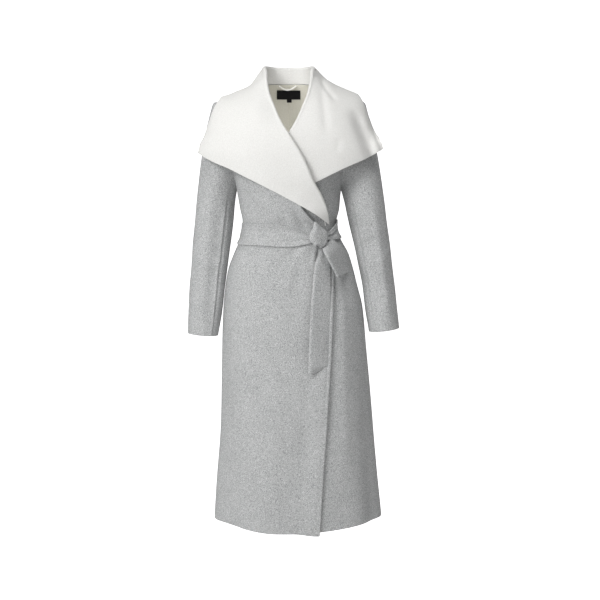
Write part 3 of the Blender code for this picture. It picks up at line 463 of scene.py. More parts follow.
panels = {}
for name, edge, lift in (("back_left", backEdgeOut, None), ("back_right", backEdgeOut, None),
                         ("front_left", frontEdgeOut, None), ("front_right", frontEdgeOut, wrapLift)):
    half, side = name.split("_")
    skirt = skirtRows(side, edge, lift, half == "back")
    panels[name] = np.concatenate([skirt, chestRows(side, edge, lift, half == "back", skirt[-1])])

# Soft marks in each panel: x1, z1, x2, z2, bow, width, depth
panelMarks = {
    "front_right": (
        (0.079, -0.434, 0.0728, -0.468, 0.0, 0.004, -0.0028), (0.07, -0.43, 0.064, -0.475, 0.0, 0.006, 0.003),
        (0.04, -0.42, -0.06, -0.52, 0.004, 0.012, -0.0025), (0.045, -0.428, -0.01, -0.56, 0.006, 0.014, 0.0022),
        (-0.075, -0.445, -0.082, -0.505, 0.0, 0.009, -0.003),
        (0.03, -0.445, 0.012, -0.64, 0.004, 0.016, -0.002), (0.05, -0.385, -0.03, -0.33, 0.004, 0.01, -0.0014),
        (0.0135, -0.337, 0.046, -0.386, 0.001, 0.0065, -0.0044),
        (-0.002, -0.344, 0.02, -0.384, 0.001, 0.008, 0.002),
        (-0.02, -0.365, -0.085, -0.3, 0.006, 0.013, 0.0022), (-0.115, -0.29, -0.1, -0.36, 0.004, 0.01, -0.0022),
        (-0.09, -0.56, -0.11, -0.9, 0.006, 0.022, 0.0024), (0.055, -0.66, 0.04, -1.08, 0.004, 0.02, -0.0022),
        (-0.03, -0.78, -0.036, -1.15, 0.003, 0.024, 0.0016),
    ),
    "front_left": (
        (0.15, -0.47, 0.165, -0.56, 0.003, 0.014, -0.0024), (0.141, -0.58, 0.15, -1.02, 0.0, 0.018, 0.004),
        (0.128, -0.445, 0.15, -0.64, 0.004, 0.012, 0.0024), (0.12, -0.33, 0.128, -0.38, 0.002, 0.008, -0.002),
    ),
    "back_left": (
        (0.02, -0.43, 0.05, -0.6, 0.006, 0.014, -0.0028), (0.075, -0.425, 0.1, -0.56, 0.004, 0.013, 0.0024),
        (0.04, -0.35, 0.085, -0.24, 0.006, 0.014, -0.0026),
    ),
    "back_right": (
        (-0.03, -0.43, -0.048, -0.64, -0.006, 0.015, -0.0026),
        (-0.085, -0.425, -0.1, -0.53, -0.004, 0.012, 0.0022),
        (-0.03, -0.352, -0.09, -0.25, -0.006, 0.013, -0.0024),
    ),
}
unevenness = {"size": 0.0005, "across": (0.03, 0.94), "top": 0.97}  # even at the sides and the top
# The right front drops away under the lapel's lower edge, along a line that ends at the knot
pleat = {
    "line": (0.033, -0.325, 0.0975, -0.3905, 0.004), "fade": (-0.14, 0.1), "endFade": (1.1, 0.88),
    "step": 0.0122, "stepEdge": (0.0012, -0.0014), "stepEnd": (-0.034, -0.02),
    "ridge": 0.003, "ridgeAt": (0.003, 0.004),
}


def pleatDepth(x, z):
    along, across = besideLine(x, z, *pleat["line"])
    low = ease(across, *pleat["stepEdge"]) * ease(across, *pleat["stepEnd"])
    high = bell(across, *pleat["ridgeAt"])
    shown = ease(along, *pleat["fade"]) * ease(along, *pleat["endFade"])
    return (pleat["ridge"] * high - pleat["step"] * low) * shown


# The right front's free edge below the belt stands off the coat, with a pressed line beside it: a
# ridge and a groove, each by distance in from the edge, width and depth
freeEdge = {
    "standOff": 0.005, "reach": 0.062, "standOffFrom": (-0.46, -0.62),
    "ridge": (0.0042, 0.0028, 0.0004), "groove": (0.0085, 0.0013, -0.0026),
    "below": (-0.4, -0.43), "fadeTo": 0.25, "fade": (-0.86, -0.72),
    "dip": 0.008, "dipAcross": (0.01, 0.08), "dipFrom": -0.95,
}
# The side seams are pressed in a little, and the back's centre seam where it shows in the neck
pressed = {
    "side": 0.0026, "sideFrom": 0.976, "top": (-0.3, -0.34), "bottom": -1.15,
    "inNeck": ((-0.14, -0.11), (-0.004, -0.014)), "centre": (0.0024, 0.0015), "parted": (0.002, 0.0007),
}


def freeEdgeDepth(grid):
    steps = np.linalg.norm(np.diff(grid, axis=1), axis=-1)
    inside = np.concatenate([np.zeros((len(grid), 1)), np.cumsum(steps, axis=1)], axis=1)
    z = grid[..., 2]
    fade = freeEdge["fadeTo"] + (1 - freeEdge["fadeTo"]) * ease(z, *freeEdge["fade"])
    line = sum(depth * bell(inside, at, width) for at, width, depth in (freeEdge["ridge"], freeEdge["groove"]))
    standOff = freeEdge["standOff"] * ease(inside, freeEdge["reach"], 0.0) * ease(z, *freeEdge["standOffFrom"])
    return standOff + line * ease(z, *freeEdge["below"]) * fade


def panelSurface(name, grid, outward):
    half, side = name.split("_")
    x, z = grid[..., 0], grid[..., 2]
    across, up = np.linspace(0, 1, grid.shape[1])[None, :], np.linspace(0, 1, grid.shape[0])[:, None]
    inner, outer = unevenness["across"]
    free = ease(across, 1.0, outer) * ease(across, 0.0, inner) * ease(up, 1.0, unevenness["top"])
    phase = len(name) + (2 if side == "left" else 0)
    depth = (marksDepth(x, z, panelMarks[name]) + drift(x, z, unevenness["size"], phase)) * free
    if name == "front_right":
        depth = depth + pleatDepth(x, z) + freeEdgeDepth(grid)
        # its hem dips towards the free edge
        dip = freeEdge["dip"] * ease(x, *freeEdge["dipAcross"])
        grid[..., 2] -= dip * ease(z, freeEdge["dipFrom"], levels["hem"])
    atSide = ease(across, pressed["sideFrom"], 1.0) * ease(z, *pressed["top"])
    depth = depth - pressed["side"] * atSide * ease(z, levels["hem"], pressed["bottom"])
    if half == "back":
        low, high = pressed["inNeck"]
        inNeck = ease(z, *low) * ease(z, *high)
        (width, sunk), (partWidth, parted) = pressed["centre"], pressed["parted"]
        depth = depth + sunk * bell(x, 0, width) * inNeck
        grid = grid + (1, 0, 0) * (sideSign[side] * parted * bell(x, 0, partWidth) * inNeck)[..., None]
    return grid + gridNormals(grid, outward) * depth[..., None]


for name, grid in panels.items():
    outward = (0, 1, 0) if name.startswith("back") else (0, -1, 0)
    grid = panelSurface(name, grid, outward)
    # Their inner faces take the darker, warmer ivory: painted shade inside the coat
    clothPiece(name, grid, ("grey", "inside"), cloth["thick"], -1, outward)


# Sleeves: a Hermite cap from the armhole to the arm, then ellipses down the arm. Rows by level: how
# far out the arm's outer and inner sides are, the middle from front to back and half the depth
armDepths = {
    "middleY": (-0.027, -0.022, -0.014, -0.007, -0.003, -0.002),
    "halfDepth": (0.0455, 0.046, 0.048, 0.05, 0.0525, 0.054),
}
sleeves = {
    "right": {
        "z": (-0.671, -0.622, -0.553, -0.484, -0.416, -0.34),
        "outer": (0.2728, 0.2717, 0.2684, 0.2634, 0.2584, 0.251),
        "inner": (0.1905, 0.1823, 0.1738, 0.1653, 0.1553, 0.147),
        "capFuller": (0.0055, 0, 0.0015), "cuffRise": 0.08, **armDepths,
    },
    "left": {
        "z": (-0.659, -0.605, -0.536, -0.467, -0.409, -0.34),
        "outer": (0.297, 0.2916, 0.284, 0.2766, 0.2694, 0.2603),
        "inner": (0.2148, 0.2062, 0.1972, 0.1837, 0.17, 0.154),
        "capFuller": (0.0065, 0, 0.0025), "cuffRise": 0.12, **armDepths,
    },
}
# The cap leaves the armhole with this share of its reach as speed, and is fullest at this share
cap = {"leaves": 0.38, "fullest": 0.06, "evened": 6}
# Seam between top and under: degrees round from the outside, and the edges beside it, the top's
# raised and the under's sunk: degrees past the seam, width, depth
sleeveSeam = {"angle": 129.0, "edges": ((-4, 3.5, 0.0017), (3.5, 3.5, -0.0026))}
sleeveWaves = {"size": 0.0007, "around": 3, "slant": 31, "down": 23}
# Marks on a sleeve, by degrees round it in thousands and level: the elbow's pulls, the cuff's slack
sleeveMarks = {
    "right": (
        (0.07, -0.395, 0.15, -0.44, 0.006, 0.009, -0.0022), (0.095, -0.45, 0.16, -0.48, 0.004, 0.008, 0.0018),
        (0.02, -0.46, 0.09, -0.5, -0.005, 0.009, 0.0016), (0.11, -0.3, 0.165, -0.36, 0.003, 0.008, -0.0022),
        (0.06, -0.56, 0.1, -0.64, 0.004, 0.012, 0.0014), (-0.06, -0.42, -0.13, -0.45, 0.005, 0.009, -0.002),
        (0.098, -0.27, 0.104, -0.64, -0.008, 0.02, -0.0055),
    ),
    "left": (
        (0.075, -0.405, 0.15, -0.45, 0.006, 0.009, -0.0024), (0.09, -0.47, 0.15, -0.5, 0.004, 0.008, 0.0018),
        (0.025, -0.44, 0.08, -0.49, -0.005, 0.009, 0.0016), (0.1, -0.29, 0.16, -0.35, 0.003, 0.008, -0.0022),
        (0.05, -0.54, 0.1, -0.62, 0.004, 0.012, 0.0014), (-0.06, -0.43, -0.13, -0.47, 0.005, 0.009, -0.002),
        (0.066, -0.25, 0.07, -0.63, -0.003, 0.013, 0.0028),
    ),
}
markFrom = (0.12, 0.26)  # shares down the sleeve over which its marks set in


def armRing(side, angle, z):
    rows = sleeves[side]
    outer, inner, middleY, halfDepth = (row(rows, key, z)
                                        for key in ("outer", "inner", "middleY", "halfDepth"))
    turned = np.radians(angle)
    x = sideSign[side] * ((outer + inner) / 2 + (outer - inner) / 2 * np.cos(turned))
    return np.stack(np.broadcast_arrays(x, middleY - halfDepth * np.sin(turned), z), axis=-1)


# Points round the armhole, from the shoulder down the front and up the back, and the cloth's
# direction at each
def armholeRing(side):
    front, back = (panels[part + side][fineness["skirtRows"] - 1:][::-1] for part in ("front_", "back_"))
    ways = [unit(half[:, -1] - half[:, -2]) for half in (front, back)]
    points = np.concatenate([front[:, -1], back[-2:0:-1, -1]])
    way = np.concatenate([ways[0], ways[1][-2:0:-1]])
    for both in (0, len(front) - 1):
        points[both] = (front[both, -1] + back[both, -1]) / 2
        way[both] = unit(ways[0][both] + ways[1][both])
    for again in range(cap["evened"]):
        way = unit(np.roll(way, 1, axis=0) + 2 * way + np.roll(way, -1, axis=0))
    return points + way * cloth["seamGap"], way


def sleeveTube(side, angle):
    sign, own = sideSign[side], sleeves[side]
    points, way = armholeRing(side)
    cuff, top = own["z"][0], own["z"][-1]
    armTop = armRing(side, angle, top)
    armWay = unit(armRing(side, angle, top - 0.01) - armTop)
    reach = np.linalg.norm(armTop - points, axis=1, keepdims=True)
    overTop = np.clip(np.cos(np.radians(angle)), 0, 1)[:, None] ** 2 * (sign, 0, 1) * own["capFuller"]
    t = np.linspace(0, 1, fineness["sleeveCapRows"])[:, None, None]
    rows = (points * (1 + 2 * t) * (1 - t) ** 2 + way * reach * cap["leaves"] * t * (1 - t) ** 2
            + armTop * t**2 * (3 - 2 * t) + armWay * reach * t**2 * (t - 1)
            + overTop * t / cap["fullest"] * np.exp(1 - t / cap["fullest"]))
    down = np.linspace(top, cuff, fineness["sleeveRows"])[1:, None]
    rings = armRing(side, angle[None, :], down)
    outwards = sign * (rings[..., 0] - rings[..., 0].mean(axis=1, keepdims=True))
    rings[..., 2] += own["cuffRise"] * outwards * ease(down, top, cuff)
    return np.concatenate([rows, rings])


# Depth of a sleeve's marks, slow waves and seam edges
def sleeveDepth(side, signedAngle, z):
    slanted = np.radians(signedAngle) * sleeveWaves["around"] + z * sleeveWaves["slant"]
    depth = sleeveWaves["size"] * np.sin(slanted) * np.sin(z * sleeveWaves["down"] + 1)
    depth = depth + marksDepth(signedAngle / 1000, z, sleeveMarks[side])
    for past, width, size in sleeveSeam["edges"]:
        depth = depth + size * bell(np.abs(signedAngle) - sleeveSeam["angle"], past, width)
    return depth


# The piece's two long edges, drawn in by a seam gap
def drawnIn(piece):
    piece = piece.copy()
    piece[:, 0] += unit(piece[:, 1] - piece[:, 0]) * cloth["seamGap"]
    piece[:, -1] += unit(piece[:, -2] - piece[:, -1]) * cloth["seamGap"]
    return piece


for side in ("right", "left"):
    angle = np.concatenate([armAngles, 360 - armAngles[-2:0:-1]])
    tube = sleeveTube(side, angle)
    away = unit((tube - tube.mean(axis=1, keepdims=True)) * (1, 1, 0))
    signedAngle = np.where(angle > 180, angle - 360, angle)[None, :] + 0 * tube[..., 0]
    fade = ease(np.linspace(0, 1, len(tube)), *markFrom)[:, None]
    tube = tube + away * (sleeveDepth(side, signedAngle, tube[..., 2]) * fade)[..., None]
    seams = (sleeveSeam["angle"], 360 - sleeveSeam["angle"])
    turn, backTurn = (int(np.argmin(np.abs(angle - seam))) for seam in seams)
    top = np.concatenate([tube[:, backTurn:], tube[:, :turn + 1]], axis=1)
    for part, grid in (("top", top), ("under", tube[:, turn:backTurn + 1])):
        name, grid = "sleeve_" + side + "_" + part, drawnIn(grid)
        outward = (sideSign[side] * (1 if part == "top" else -1), 0, 0)
        clothPiece(name, grid, ("grey", "ivory"), cloth["thick"], -1, outward)

# Collar: the stand rises from the seam to the roll, then the fall spreads over the shoulder. Along
# the seam 0 is the centre back, 1 the neck point and 2 the lapel's tip. "stand" leads from seam to
# roll; "edge" is the fall's edge, out from the centre and degrees over the shoulder, behind below 0
collar = {
    "seam": (0.0, 0.4, 0.75, 0.95, 1.0, 1.025, 1.07, 1.14, 1.2,
             1.28, 1.3537, 1.4653, 1.5578, 1.6912, 1.8027, 1.8735, 2.0),
    "standOut": (0.0, 0.0, -0.007, -0.015, -0.0175, -0.0175, -0.0135, -0.008, -0.0065,
                 -0.0045, -0.003, -0.004, -0.0062, -0.0078, -0.0078, -0.0078, -0.0055),
    "standY": (-0.004, -0.005, -0.008, -0.008, -0.006, -0.005, -0.003, -0.004, -0.003,
               -0.001, 0.0, 0.0, 0.0, 0.001, 0.002, 0.004, 0.008),
    "standUp": (0.044, 0.044, 0.045, 0.047, 0.047, 0.047, 0.038, 0.026, 0.016,
                0.008, 0.0045, 0.0035, 0.0035, 0.0035, 0.0035, 0.0035, 0.003),
    "edgeOut": (0.0, 0.055, 0.112, 0.159, 0.1715, 0.1778, 0.1857, 0.197, 0.2175,
                0.2395, 0.2, 0.14, 0.08, 0.01, -0.048, -0.075, -0.103),
    "edgeOver": (-77.0, -76.0, -67.0, -39.0, -16.0, 4.0, 24.0, 38.0, 62.0,
                 103.5, 115.4, 130.0, 145.0, 163.0, 179.0, 187.3, 198.0),
    "corner": 1.28, "edgeDrop": 0.002, "roll": 0.0055, "rollThins": 0.35, "thinFrom": (1.7, 2.0),
    "extraGap": 0.0006, "extraFrom": (0.6, 0.95), "extraTo": (1.3, 1.0), "endsShort": 0.0015,
    "cornerFrom": 0.12, "marksFrom": 0.25,
    "sideOutAt": (54, 22), "tipFrom": (1.78, 1.95), "raisedAt": (80, 103), "raisedBelowAt": (108, 128),
    "columns": 190, "standRows": 7, "rollStep": 12, "fallRows": 44,
    "smoothWays": 14, "smoothPoints": 3, "smoothNormals": 8, "middle": (0, 0, -0.25),
}
collarUneven = {"size": 0.0006, "left": 3.0, "right": 5.0}
# Each half's own lift, corner and side pushed out, widest share of the section, degrees by which
# its lower edge is raised, narrower tip, and share of the fall at which it settles on the body
collarSides = {
    "right": {"lift": 0.0145, "cornerOut": 0.0, "sideOut": 0.0, "widest": 1.0, "raised": 0.0,
              "raisedBelow": 2.2, "tipOut": 0.0, "tipOver": 0.0, "settles": 0.5},
    "left": {"lift": 0.0, "cornerOut": 0.0095, "sideOut": 0.014, "widest": 0.955, "raised": 5.5,
             "raisedBelow": 0.0, "tipOut": 0.009, "tipOver": 3.0, "settles": 0.55},
}
# How much higher each side stands off the shoulder near the neck
topRise = {
    "out": (0.0, 0.031, 0.058, 0.078, 0.09, 0.104, 0.131, 0.161, 0.185, 0.198, 0.205, 0.22),
    "right": (0.0, 0.0, 0.001, 0.005, 0.003, 0.0, -0.0005, -0.003, -0.001, 0.0, 0.0, 0.0),
    "left": (0.0, 0.002, 0.005, 0.012, 0.0125, 0.013, 0.0115, 0.008, 0.006, 0.005, 0.0025, 0.0),
}
# The form that the fall lies on, by level, and its top, by distance out
drape = {
    "z": (-0.38, -0.33, -0.28, -0.24, -0.187, -0.15, -0.12, -0.088, 0.01),
    "width": (0.13, 0.165, 0.21, 0.245, 0.256, 0.242, 0.231, 0.227, 0.227),
    "front": (0.107, 0.1155, 0.1235, 0.129, 0.132, 0.13, 0.129, 0.126, 0.12),
    "back": (0.11, 0.112, 0.12, 0.125, 0.126, 0.126, 0.124, 0.122, 0.118),
    "overBody": 0.006, "liftBetween": (-0.42, -0.33), "liftAcross": (0.2, 0.06),
}
drapeTop = {
    "out": (0.0, 0.012, 0.031, 0.058, 0.078, 0.1, 0.13, 0.16, 0.185, 0.2, 0.2105, 0.226, 0.245),
    "backY": (0.0782, 0.078, 0.075, 0.057, 0.012, 0.008, 0.007, 0.005, 0.002, 0.0, 0.0, 0.0, 0.0),
    "frontY": (0.0, 0.0, 0.0, 0.006, 0.012, 0.008, 0.007, 0.005, 0.002, 0.0, 0.0, 0.0, 0.0),
    "z": (0.006, 0.006, 0.006, 0.0045, -0.0005, -0.0085, -0.019, -0.0285, -0.038, -0.051,
          -0.073, -0.115, -0.15),
}
# Valleys down the left wing: out at the neck's level, slant, width, depth, and the levels between
# which they fade. The wing's corner stands a little forward, over the arm
wingValleys = ((0.14, 0.4, 0.018, 0.013, -0.062, -0.24), (0.084, 0.1, 0.012, 0.004, 0.015, -0.15))
valleyFade = 0.05
wingCorner = {"forward": 0.01, "out": (0.212, 0.24), "below": (-0.08, -0.14)}
# Marks on each half, seen from the front: x1, z1, x2, z2, bow, width, depth
collarMarks = {
    "left": ((0.082, 0.01, 0.124, -0.052, 0.003, 0.008, -0.0034),
             (0.125, -0.185, 0.132, -0.15, 0.0, 0.008, -0.0015)),
    "right": ((-0.06, -0.06, -0.13, -0.15, 0.01, 0.03, 0.002),
              (0.06, -0.33, 0.0, -0.27, 0.004, 0.018, -0.0016)),
}


def collarTop(side, out):
    return row(drapeTop, "z", out) + row(topRise, side, out)


# Over the shoulder the section is a quarter ellipse from the shoulder's top (0) to chest or back (90)
def drapePoint(side, out, over):
    far, chest, own, power = np.abs(out), levels["chest"], collarSides[side], cloth["sectionPower"]
    steep = np.radians(np.clip(np.abs(over), 0, 90))
    beyond = np.maximum(np.abs(over) - 90, 0) * collar["edgeDrop"]
    z = chest + (collarTop(side, far) - chest) * np.cos(steep) - beyond
    lift = own["lift"] * ease(z, *drape["liftBetween"]) * ease(out, *drape["liftAcross"])
    body = halfWidth(z, out * sideSign[side] > 0) + drape["overBody"] + lift
    width = np.where(out > 0, row(drape, "width", z), body)
    across = (1 - np.clip(far / width, 0, own["widest"]) ** power) ** (1 / power)
    inFront = -(row(drape, "front", z) + lift)
    depth = np.where(over < 0, row(drape, "back", z), inFront)
    backY, frontY = (row(drapeTop, key, far) for key in ("backY", "frontY"))
    topY = np.where(over < 0, backY, frontY)
    y = topY + (depth * across - topY) * np.sin(steep)
    return np.stack(np.broadcast_arrays(sideSign[side] * out, y, z), axis=-1)


def smoothAlong(values, times):
    for again in range(times):
        inner = (values[:-2] + 2 * values[1:-1] + values[2:]) / 4
        values = np.concatenate([values[:1], inner, values[-1:]])
    return values


# Even columns along the seam, one at the wing's corner: the panels' points there, the direction in
# which their cloth ends, and the seam value
def collarSeam(side):
    back, front = panels["back_" + side], panels["front_" + side]
    neckColumns = int(np.sum(np.abs(back[-1, :, 0]) < neckPoint["out"] - collar["endsShort"]))
    neck, beneath = back[-1, :neckColumns], back[-2, :neckColumns]
    tipRow = int(np.argmin(np.abs(front[:, 0, 2] - levels["lapelTip"])))
    edgeRows = front[tipRow:][::-1]
    down = (neckPoint["z"] - edgeRows[:, 0, 2]) / (neckPoint["z"] - levels["lapelTip"])
    seam = np.concatenate([np.abs(neck[:, 0]) / neckPoint["out"], 1 + down])
    points = np.concatenate([neck, edgeRows[:, 0]])
    ways = unit(np.concatenate([unit(neck - beneath), unit(edgeRows[:, 0] - edgeRows[:, 1])]))
    at = np.concatenate([[0], np.cumsum(np.linalg.norm(np.diff(points, axis=0), axis=1))])
    even = np.linspace(0, at[-1], collar["columns"])
    cornerAt = np.interp(collar["corner"], seam, at)
    even[int(np.argmin(np.abs(even - cornerAt)))] = cornerAt
    points, ways = (np.stack([np.interp(even, at, values[:, k]) for k in range(3)], axis=-1)
                    for values in (points, ways))
    return points, unit(smoothAlong(ways, collar["smoothWays"])), np.interp(even, at, seam)


# Rows from the seam up the stand, then half round the roll. The seam's start is set off from the
# panel's edge by the gap and by the mitre of the two walls
def standRows(side, points, ways, seam):
    along = unit(np.gradient(smoothAlong(points, collar["smoothPoints"]), axis=0))
    normal = unit(np.cross(ways, along))
    outside = np.sign(np.sum(normal * (points - collar["middle"]), axis=1))[:, None]
    normal = unit(smoothAlong(normal * outside, collar["smoothNormals"]))
    stand = np.stack([row(collar, key, seam) for key in ("standOut", "standY", "standUp")], axis=-1)
    stand = stand * (sideSign[side], 1, 1)
    up = unit(stand)
    mitre = np.sqrt(np.clip(1 - np.sum(ways * up, axis=1) ** 2, 0, 1))
    extra = collar["extraGap"] * ease(seam, *collar["extraFrom"]) * ease(seam, *collar["extraTo"])
    setOff = cloth["seamGap"] + cloth["thick"] / 2 * mitre + extra
    start = points - normal * cloth["thick"] / 2 + ways * setOff[:, None]
    outward = np.stack([points[:, 0], points[:, 1] * 2, 0 * seam], axis=-1)
    outward = unit(outward - np.sum(outward * up, axis=1, keepdims=True) * up)
    roll = (collar["roll"] * (1 - collar["rollThins"] * ease(seam, *collar["thinFrom"])))[:, None]
    foot = start + stand - up * roll
    rows = [start + (foot - start) * share for share in np.linspace(0, 1, collar["standRows"])]
    turns = np.radians(np.arange(collar["rollStep"], 181, collar["rollStep"]))
    return rows + [foot + outward * roll + roll * (up * math.sin(a) - outward * math.cos(a)) for a in turns]


# The fall's edge along the seam, in two curves that meet in the wing's corner
def fallEdge(side, seam):
    own, knots = collarSides[side], np.array(collar["seam"])
    corner, split = (int(np.argmin(np.abs(values - collar["corner"]))) for values in (seam, knots))
    knots[split] = seam[corner]
    out, over = (np.concatenate([curve(seam[:corner], knots[:split + 1], collar[key][:split + 1]),
                                 curve(seam[corner:], knots[split:], collar[key][split:])])
                 for key in ("edgeOut", "edgeOver"))
    out = out + own["cornerOut"] * ease(out, collar["cornerFrom"], max(collar["edgeOut"])) * (over > 0)
    out = out + own["sideOut"] * bell(over, *collar["sideOutAt"])
    atTip = ease(seam, *collar["tipFrom"])
    out, over = out + own["tipOut"] * atTip, over + own["tipOver"] * atTip
    raised = own["raised"] * ease(over, *collar["raisedAt"])
    return out, over - raised - own["raisedBelow"] * ease(over, *collar["raisedBelowAt"])


# Sinks the left wing's valleys and brings its corner forward
def shapeWing(hang, inFront):
    x, z = hang[:, 0], hang[:, 2]
    for out, slant, width, depth, high, low in wingValleys:
        shown = ease(z, high, high - valleyFade) * ease(z, low, low + valleyFade)
        hang[:, 1] += depth * bell(x + slant * z, out, width) * shown * inFront
    hang[:, 1] -= wingCorner["forward"] * ease(x, *wingCorner["out"]) * ease(z, *wingCorner["below"]) * inFront


def collarGrid(side):
    sign, chest = sideSign[side], levels["chest"]
    points, ways, seam = collarSeam(side)
    rows = standRows(side, points, ways, seam)
    edgeOut, edgeOver = fallEdge(side, seam)
    last, behind = rows[-1], seam < 1.0
    fromOut = sign * last[:, 0]
    high = collarTop(side, np.abs(fromOut)) - chest
    level = (last[:, 2] - chest) / high
    fromOver = np.degrees(np.arccos(np.clip(level, 0, 1))) + np.maximum(-level, 0) * high / collar["edgeDrop"]
    fromOver = np.where(behind, -np.maximum(fromOver, 0.01), fromOver)
    apart = last - drapePoint(side, fromOut, fromOver)
    for share in np.linspace(0, 1, collar["fallRows"] + 1)[1:]:
        hang = drapePoint(side, fromOut + (edgeOut - fromOut) * share, fromOver + (edgeOver - fromOver) * share)
        if side == "left":
            shapeWing(hang, ~behind)
        rows.append(hang + apart * max(0.0, 1 - share / collarSides[side]["settles"]) ** 2)
    return np.array(rows)


for side in ("right", "left"):
    name, grid = "collar_" + side, collarGrid(side)
    fall = grid[-collar["fallRows"]:]
    x, y, z = fall[..., 0], fall[..., 1], fall[..., 2]
    setIn = ease(np.linspace(0, 1, len(fall)), 0.0, collar["marksFrom"])[:, None]
    marks = marksDepth(x, z, collarMarks[side]) * (y < 0.01)
    depth = (marks + drift(x, z, collarUneven["size"], collarUneven[side])) * setIn
    grid[-collar["fallRows"]:] = fall + gridNormals(fall, (0, -1, 0)) * depth[..., None]
    clothPiece(name, grid, ("ivory", "grey"), cloth["thick"], 0, (0, -1, 0))

# Belt: the band's edges by degrees round from the knot, towards the wearer's right. "gathers" and
# "slack" are size, waves across and waves along
belt = {
    "round": (6.0, 13.6, 23.5, 36.8, 65.0, 105.0, 160.0, 215.0, 260.0, 304.0, 330.0, 345.0, 354.0),
    "top": (-0.406, -0.405, -0.39, -0.377, -0.372, -0.3745, -0.371,
            -0.369, -0.366, -0.364, -0.374, -0.3915, -0.396),
    "bottom": (-0.42, -0.4215, -0.427, -0.431, -0.4275, -0.4275, -0.425,
               -0.423, -0.419, -0.412, -0.4125, -0.4155, -0.414),
    "knotAngle": 34.0, "thick": 0.004, "clear": 0.002, "columns": 420, "rows": 22,
    "overWrapTo": 0.09, "leavesWrap": (84, 60), "lowest": -0.0012,
}
beltFolds = {
    "near": ((48, 10), (318, 350)), "gathers": (0.001, 13.0, 0.02),
    "slack": (0.0007, 5.0, 0.045), "slackComes": 0.11,
    "lowEdge": 0.0026, "lowAt": (0.3, 0.0), "topEdge": 0.0014, "topAt": (0.75, 1.0),
    "fold": -0.0034, "foldAt": (0.3, 0.46), "foldRises": (26, 9), "foldFrom": (34, 16), "foldWidth": 0.06,
    "divide": -0.0085, "divideAt": (0.5, 0.11), "divideFrom": (312, 332),
    "puffed": 0.004, "puffedFrom": (306, 335),
}


# Point in front of the body at x and z, moved out along Y until it is lifted by that much
def frontPoint(x, z, lift):
    probe = 0.001
    point, raised = bodyPoint(bodyAngle(x, z), z), bodyPoint(bodyAngle(x, z), z, probe)
    point[..., 1] -= lift * probe / np.abs(raised[..., 1] - point[..., 1])
    return point


# Depth of the band's folds: gathers that run into the knot, slack lengthwise folds elsewhere, edges
# that stand off, a fold near the lower edge by the knot and a deep one that divides the far side
def beltFoldDepth(turned, share):
    folds = beltFolds
    nearKnot = sum(ease(turned, *limits) for limits in folds["near"])
    gathers, slack = (size * np.sin(share * across + turned * along)
                      for size, across, along in (folds["gathers"], folds["slack"]))
    slack = slack * np.sin(turned * folds["slackComes"] + 1) * (1 - nearKnot)
    edges = (folds["lowEdge"] * ease(share, *folds["lowAt"])
             + folds["topEdge"] * ease(share, *folds["topAt"]))
    low, high = folds["foldAt"]
    foldAt = low + (high - low) * ease(turned, *folds["foldRises"])
    fold = folds["fold"] * bell(share, foldAt, folds["foldWidth"]) * ease(turned, *folds["foldFrom"])
    divide = folds["divide"] * bell(share, *folds["divideAt"]) * ease(turned, *folds["divideFrom"])
    puffed = folds["puffed"] * np.sin(share * np.pi) * ease(turned, *folds["puffedFrom"])
    return gathers * nearKnot + slack + edges + fold + divide + puffed


def beltGrid():
    turned = np.linspace(belt["round"][0], belt["round"][-1], belt["columns"])[None, :]
    share = np.linspace(0, 1, belt["rows"])[:, None]
    top, bottom = row(belt, "top", turned), row(belt, "bottom", turned)
    angle = (belt["knotAngle"] - turned + 180) % 360 - 180
    z = bottom + (top - bottom) * share
    x = halfWidth(z, angle > 0) * signedPower(np.sin(np.radians(angle)), 2 / cloth["sectionPower"])
    over = np.where(np.abs(angle) < 90, wrapLift(np.minimum(x, belt["overWrapTo"]), z), 0.0)
    over = over * ease(angle + 0 * z, *belt["leavesWrap"])
    folds = np.maximum(beltFoldDepth(turned, share), belt["lowest"])
    return bodyPoint(angle + 0 * z, z, over + belt["clear"] + folds)


clothPiece("belt_band", beltGrid(), ("belt", "belt"), belt["thick"], 1, (0, 0, 0), edge=0.0012)

# Knot: its outline's reach by degrees round the centre. Its ridge lies to one side, so that one face
# is narrow and the other one broad; a lip curls at the foot
knot = {
    "angle": (0, 27, 49, 77, 92, 108, 118, 128, 150, 166, 187, 201, 229, 245, 262, 277, 292, 315, 332, 360),
    "reach": (0.0232, 0.0236, 0.023, 0.0245, 0.031, 0.04, 0.0335, 0.0275, 0.0252, 0.0254,
              0.0272, 0.0272, 0.0256, 0.028, 0.0266, 0.0312, 0.0306, 0.0274, 0.0246, 0.0232),
    "centre": (0.08, -0.403), "thick": 0.022, "sunk": 0.0002, "lowest": 0.0112, "ridgeX": 0.072, "tilt": 0.16,
    "poles": 82, "bulge": 0.8, "rings": 41, "step": 3.0, "lipFrom": (0.4, 0.6),
    "marks": ((0.069, -0.366, 0.071, -0.424, 0.002, 0.008, 0.0018),
              (0.0865, -0.383, 0.0905, -0.424, -0.003, 0.0045, -0.0012)),
    "lip": ((0.07, -0.423, 0.083, -0.4262, -0.002, 0.0021, 0.0044),
            (0.0715, -0.429, 0.0825, -0.431, -0.002, 0.002, -0.0066)),
}


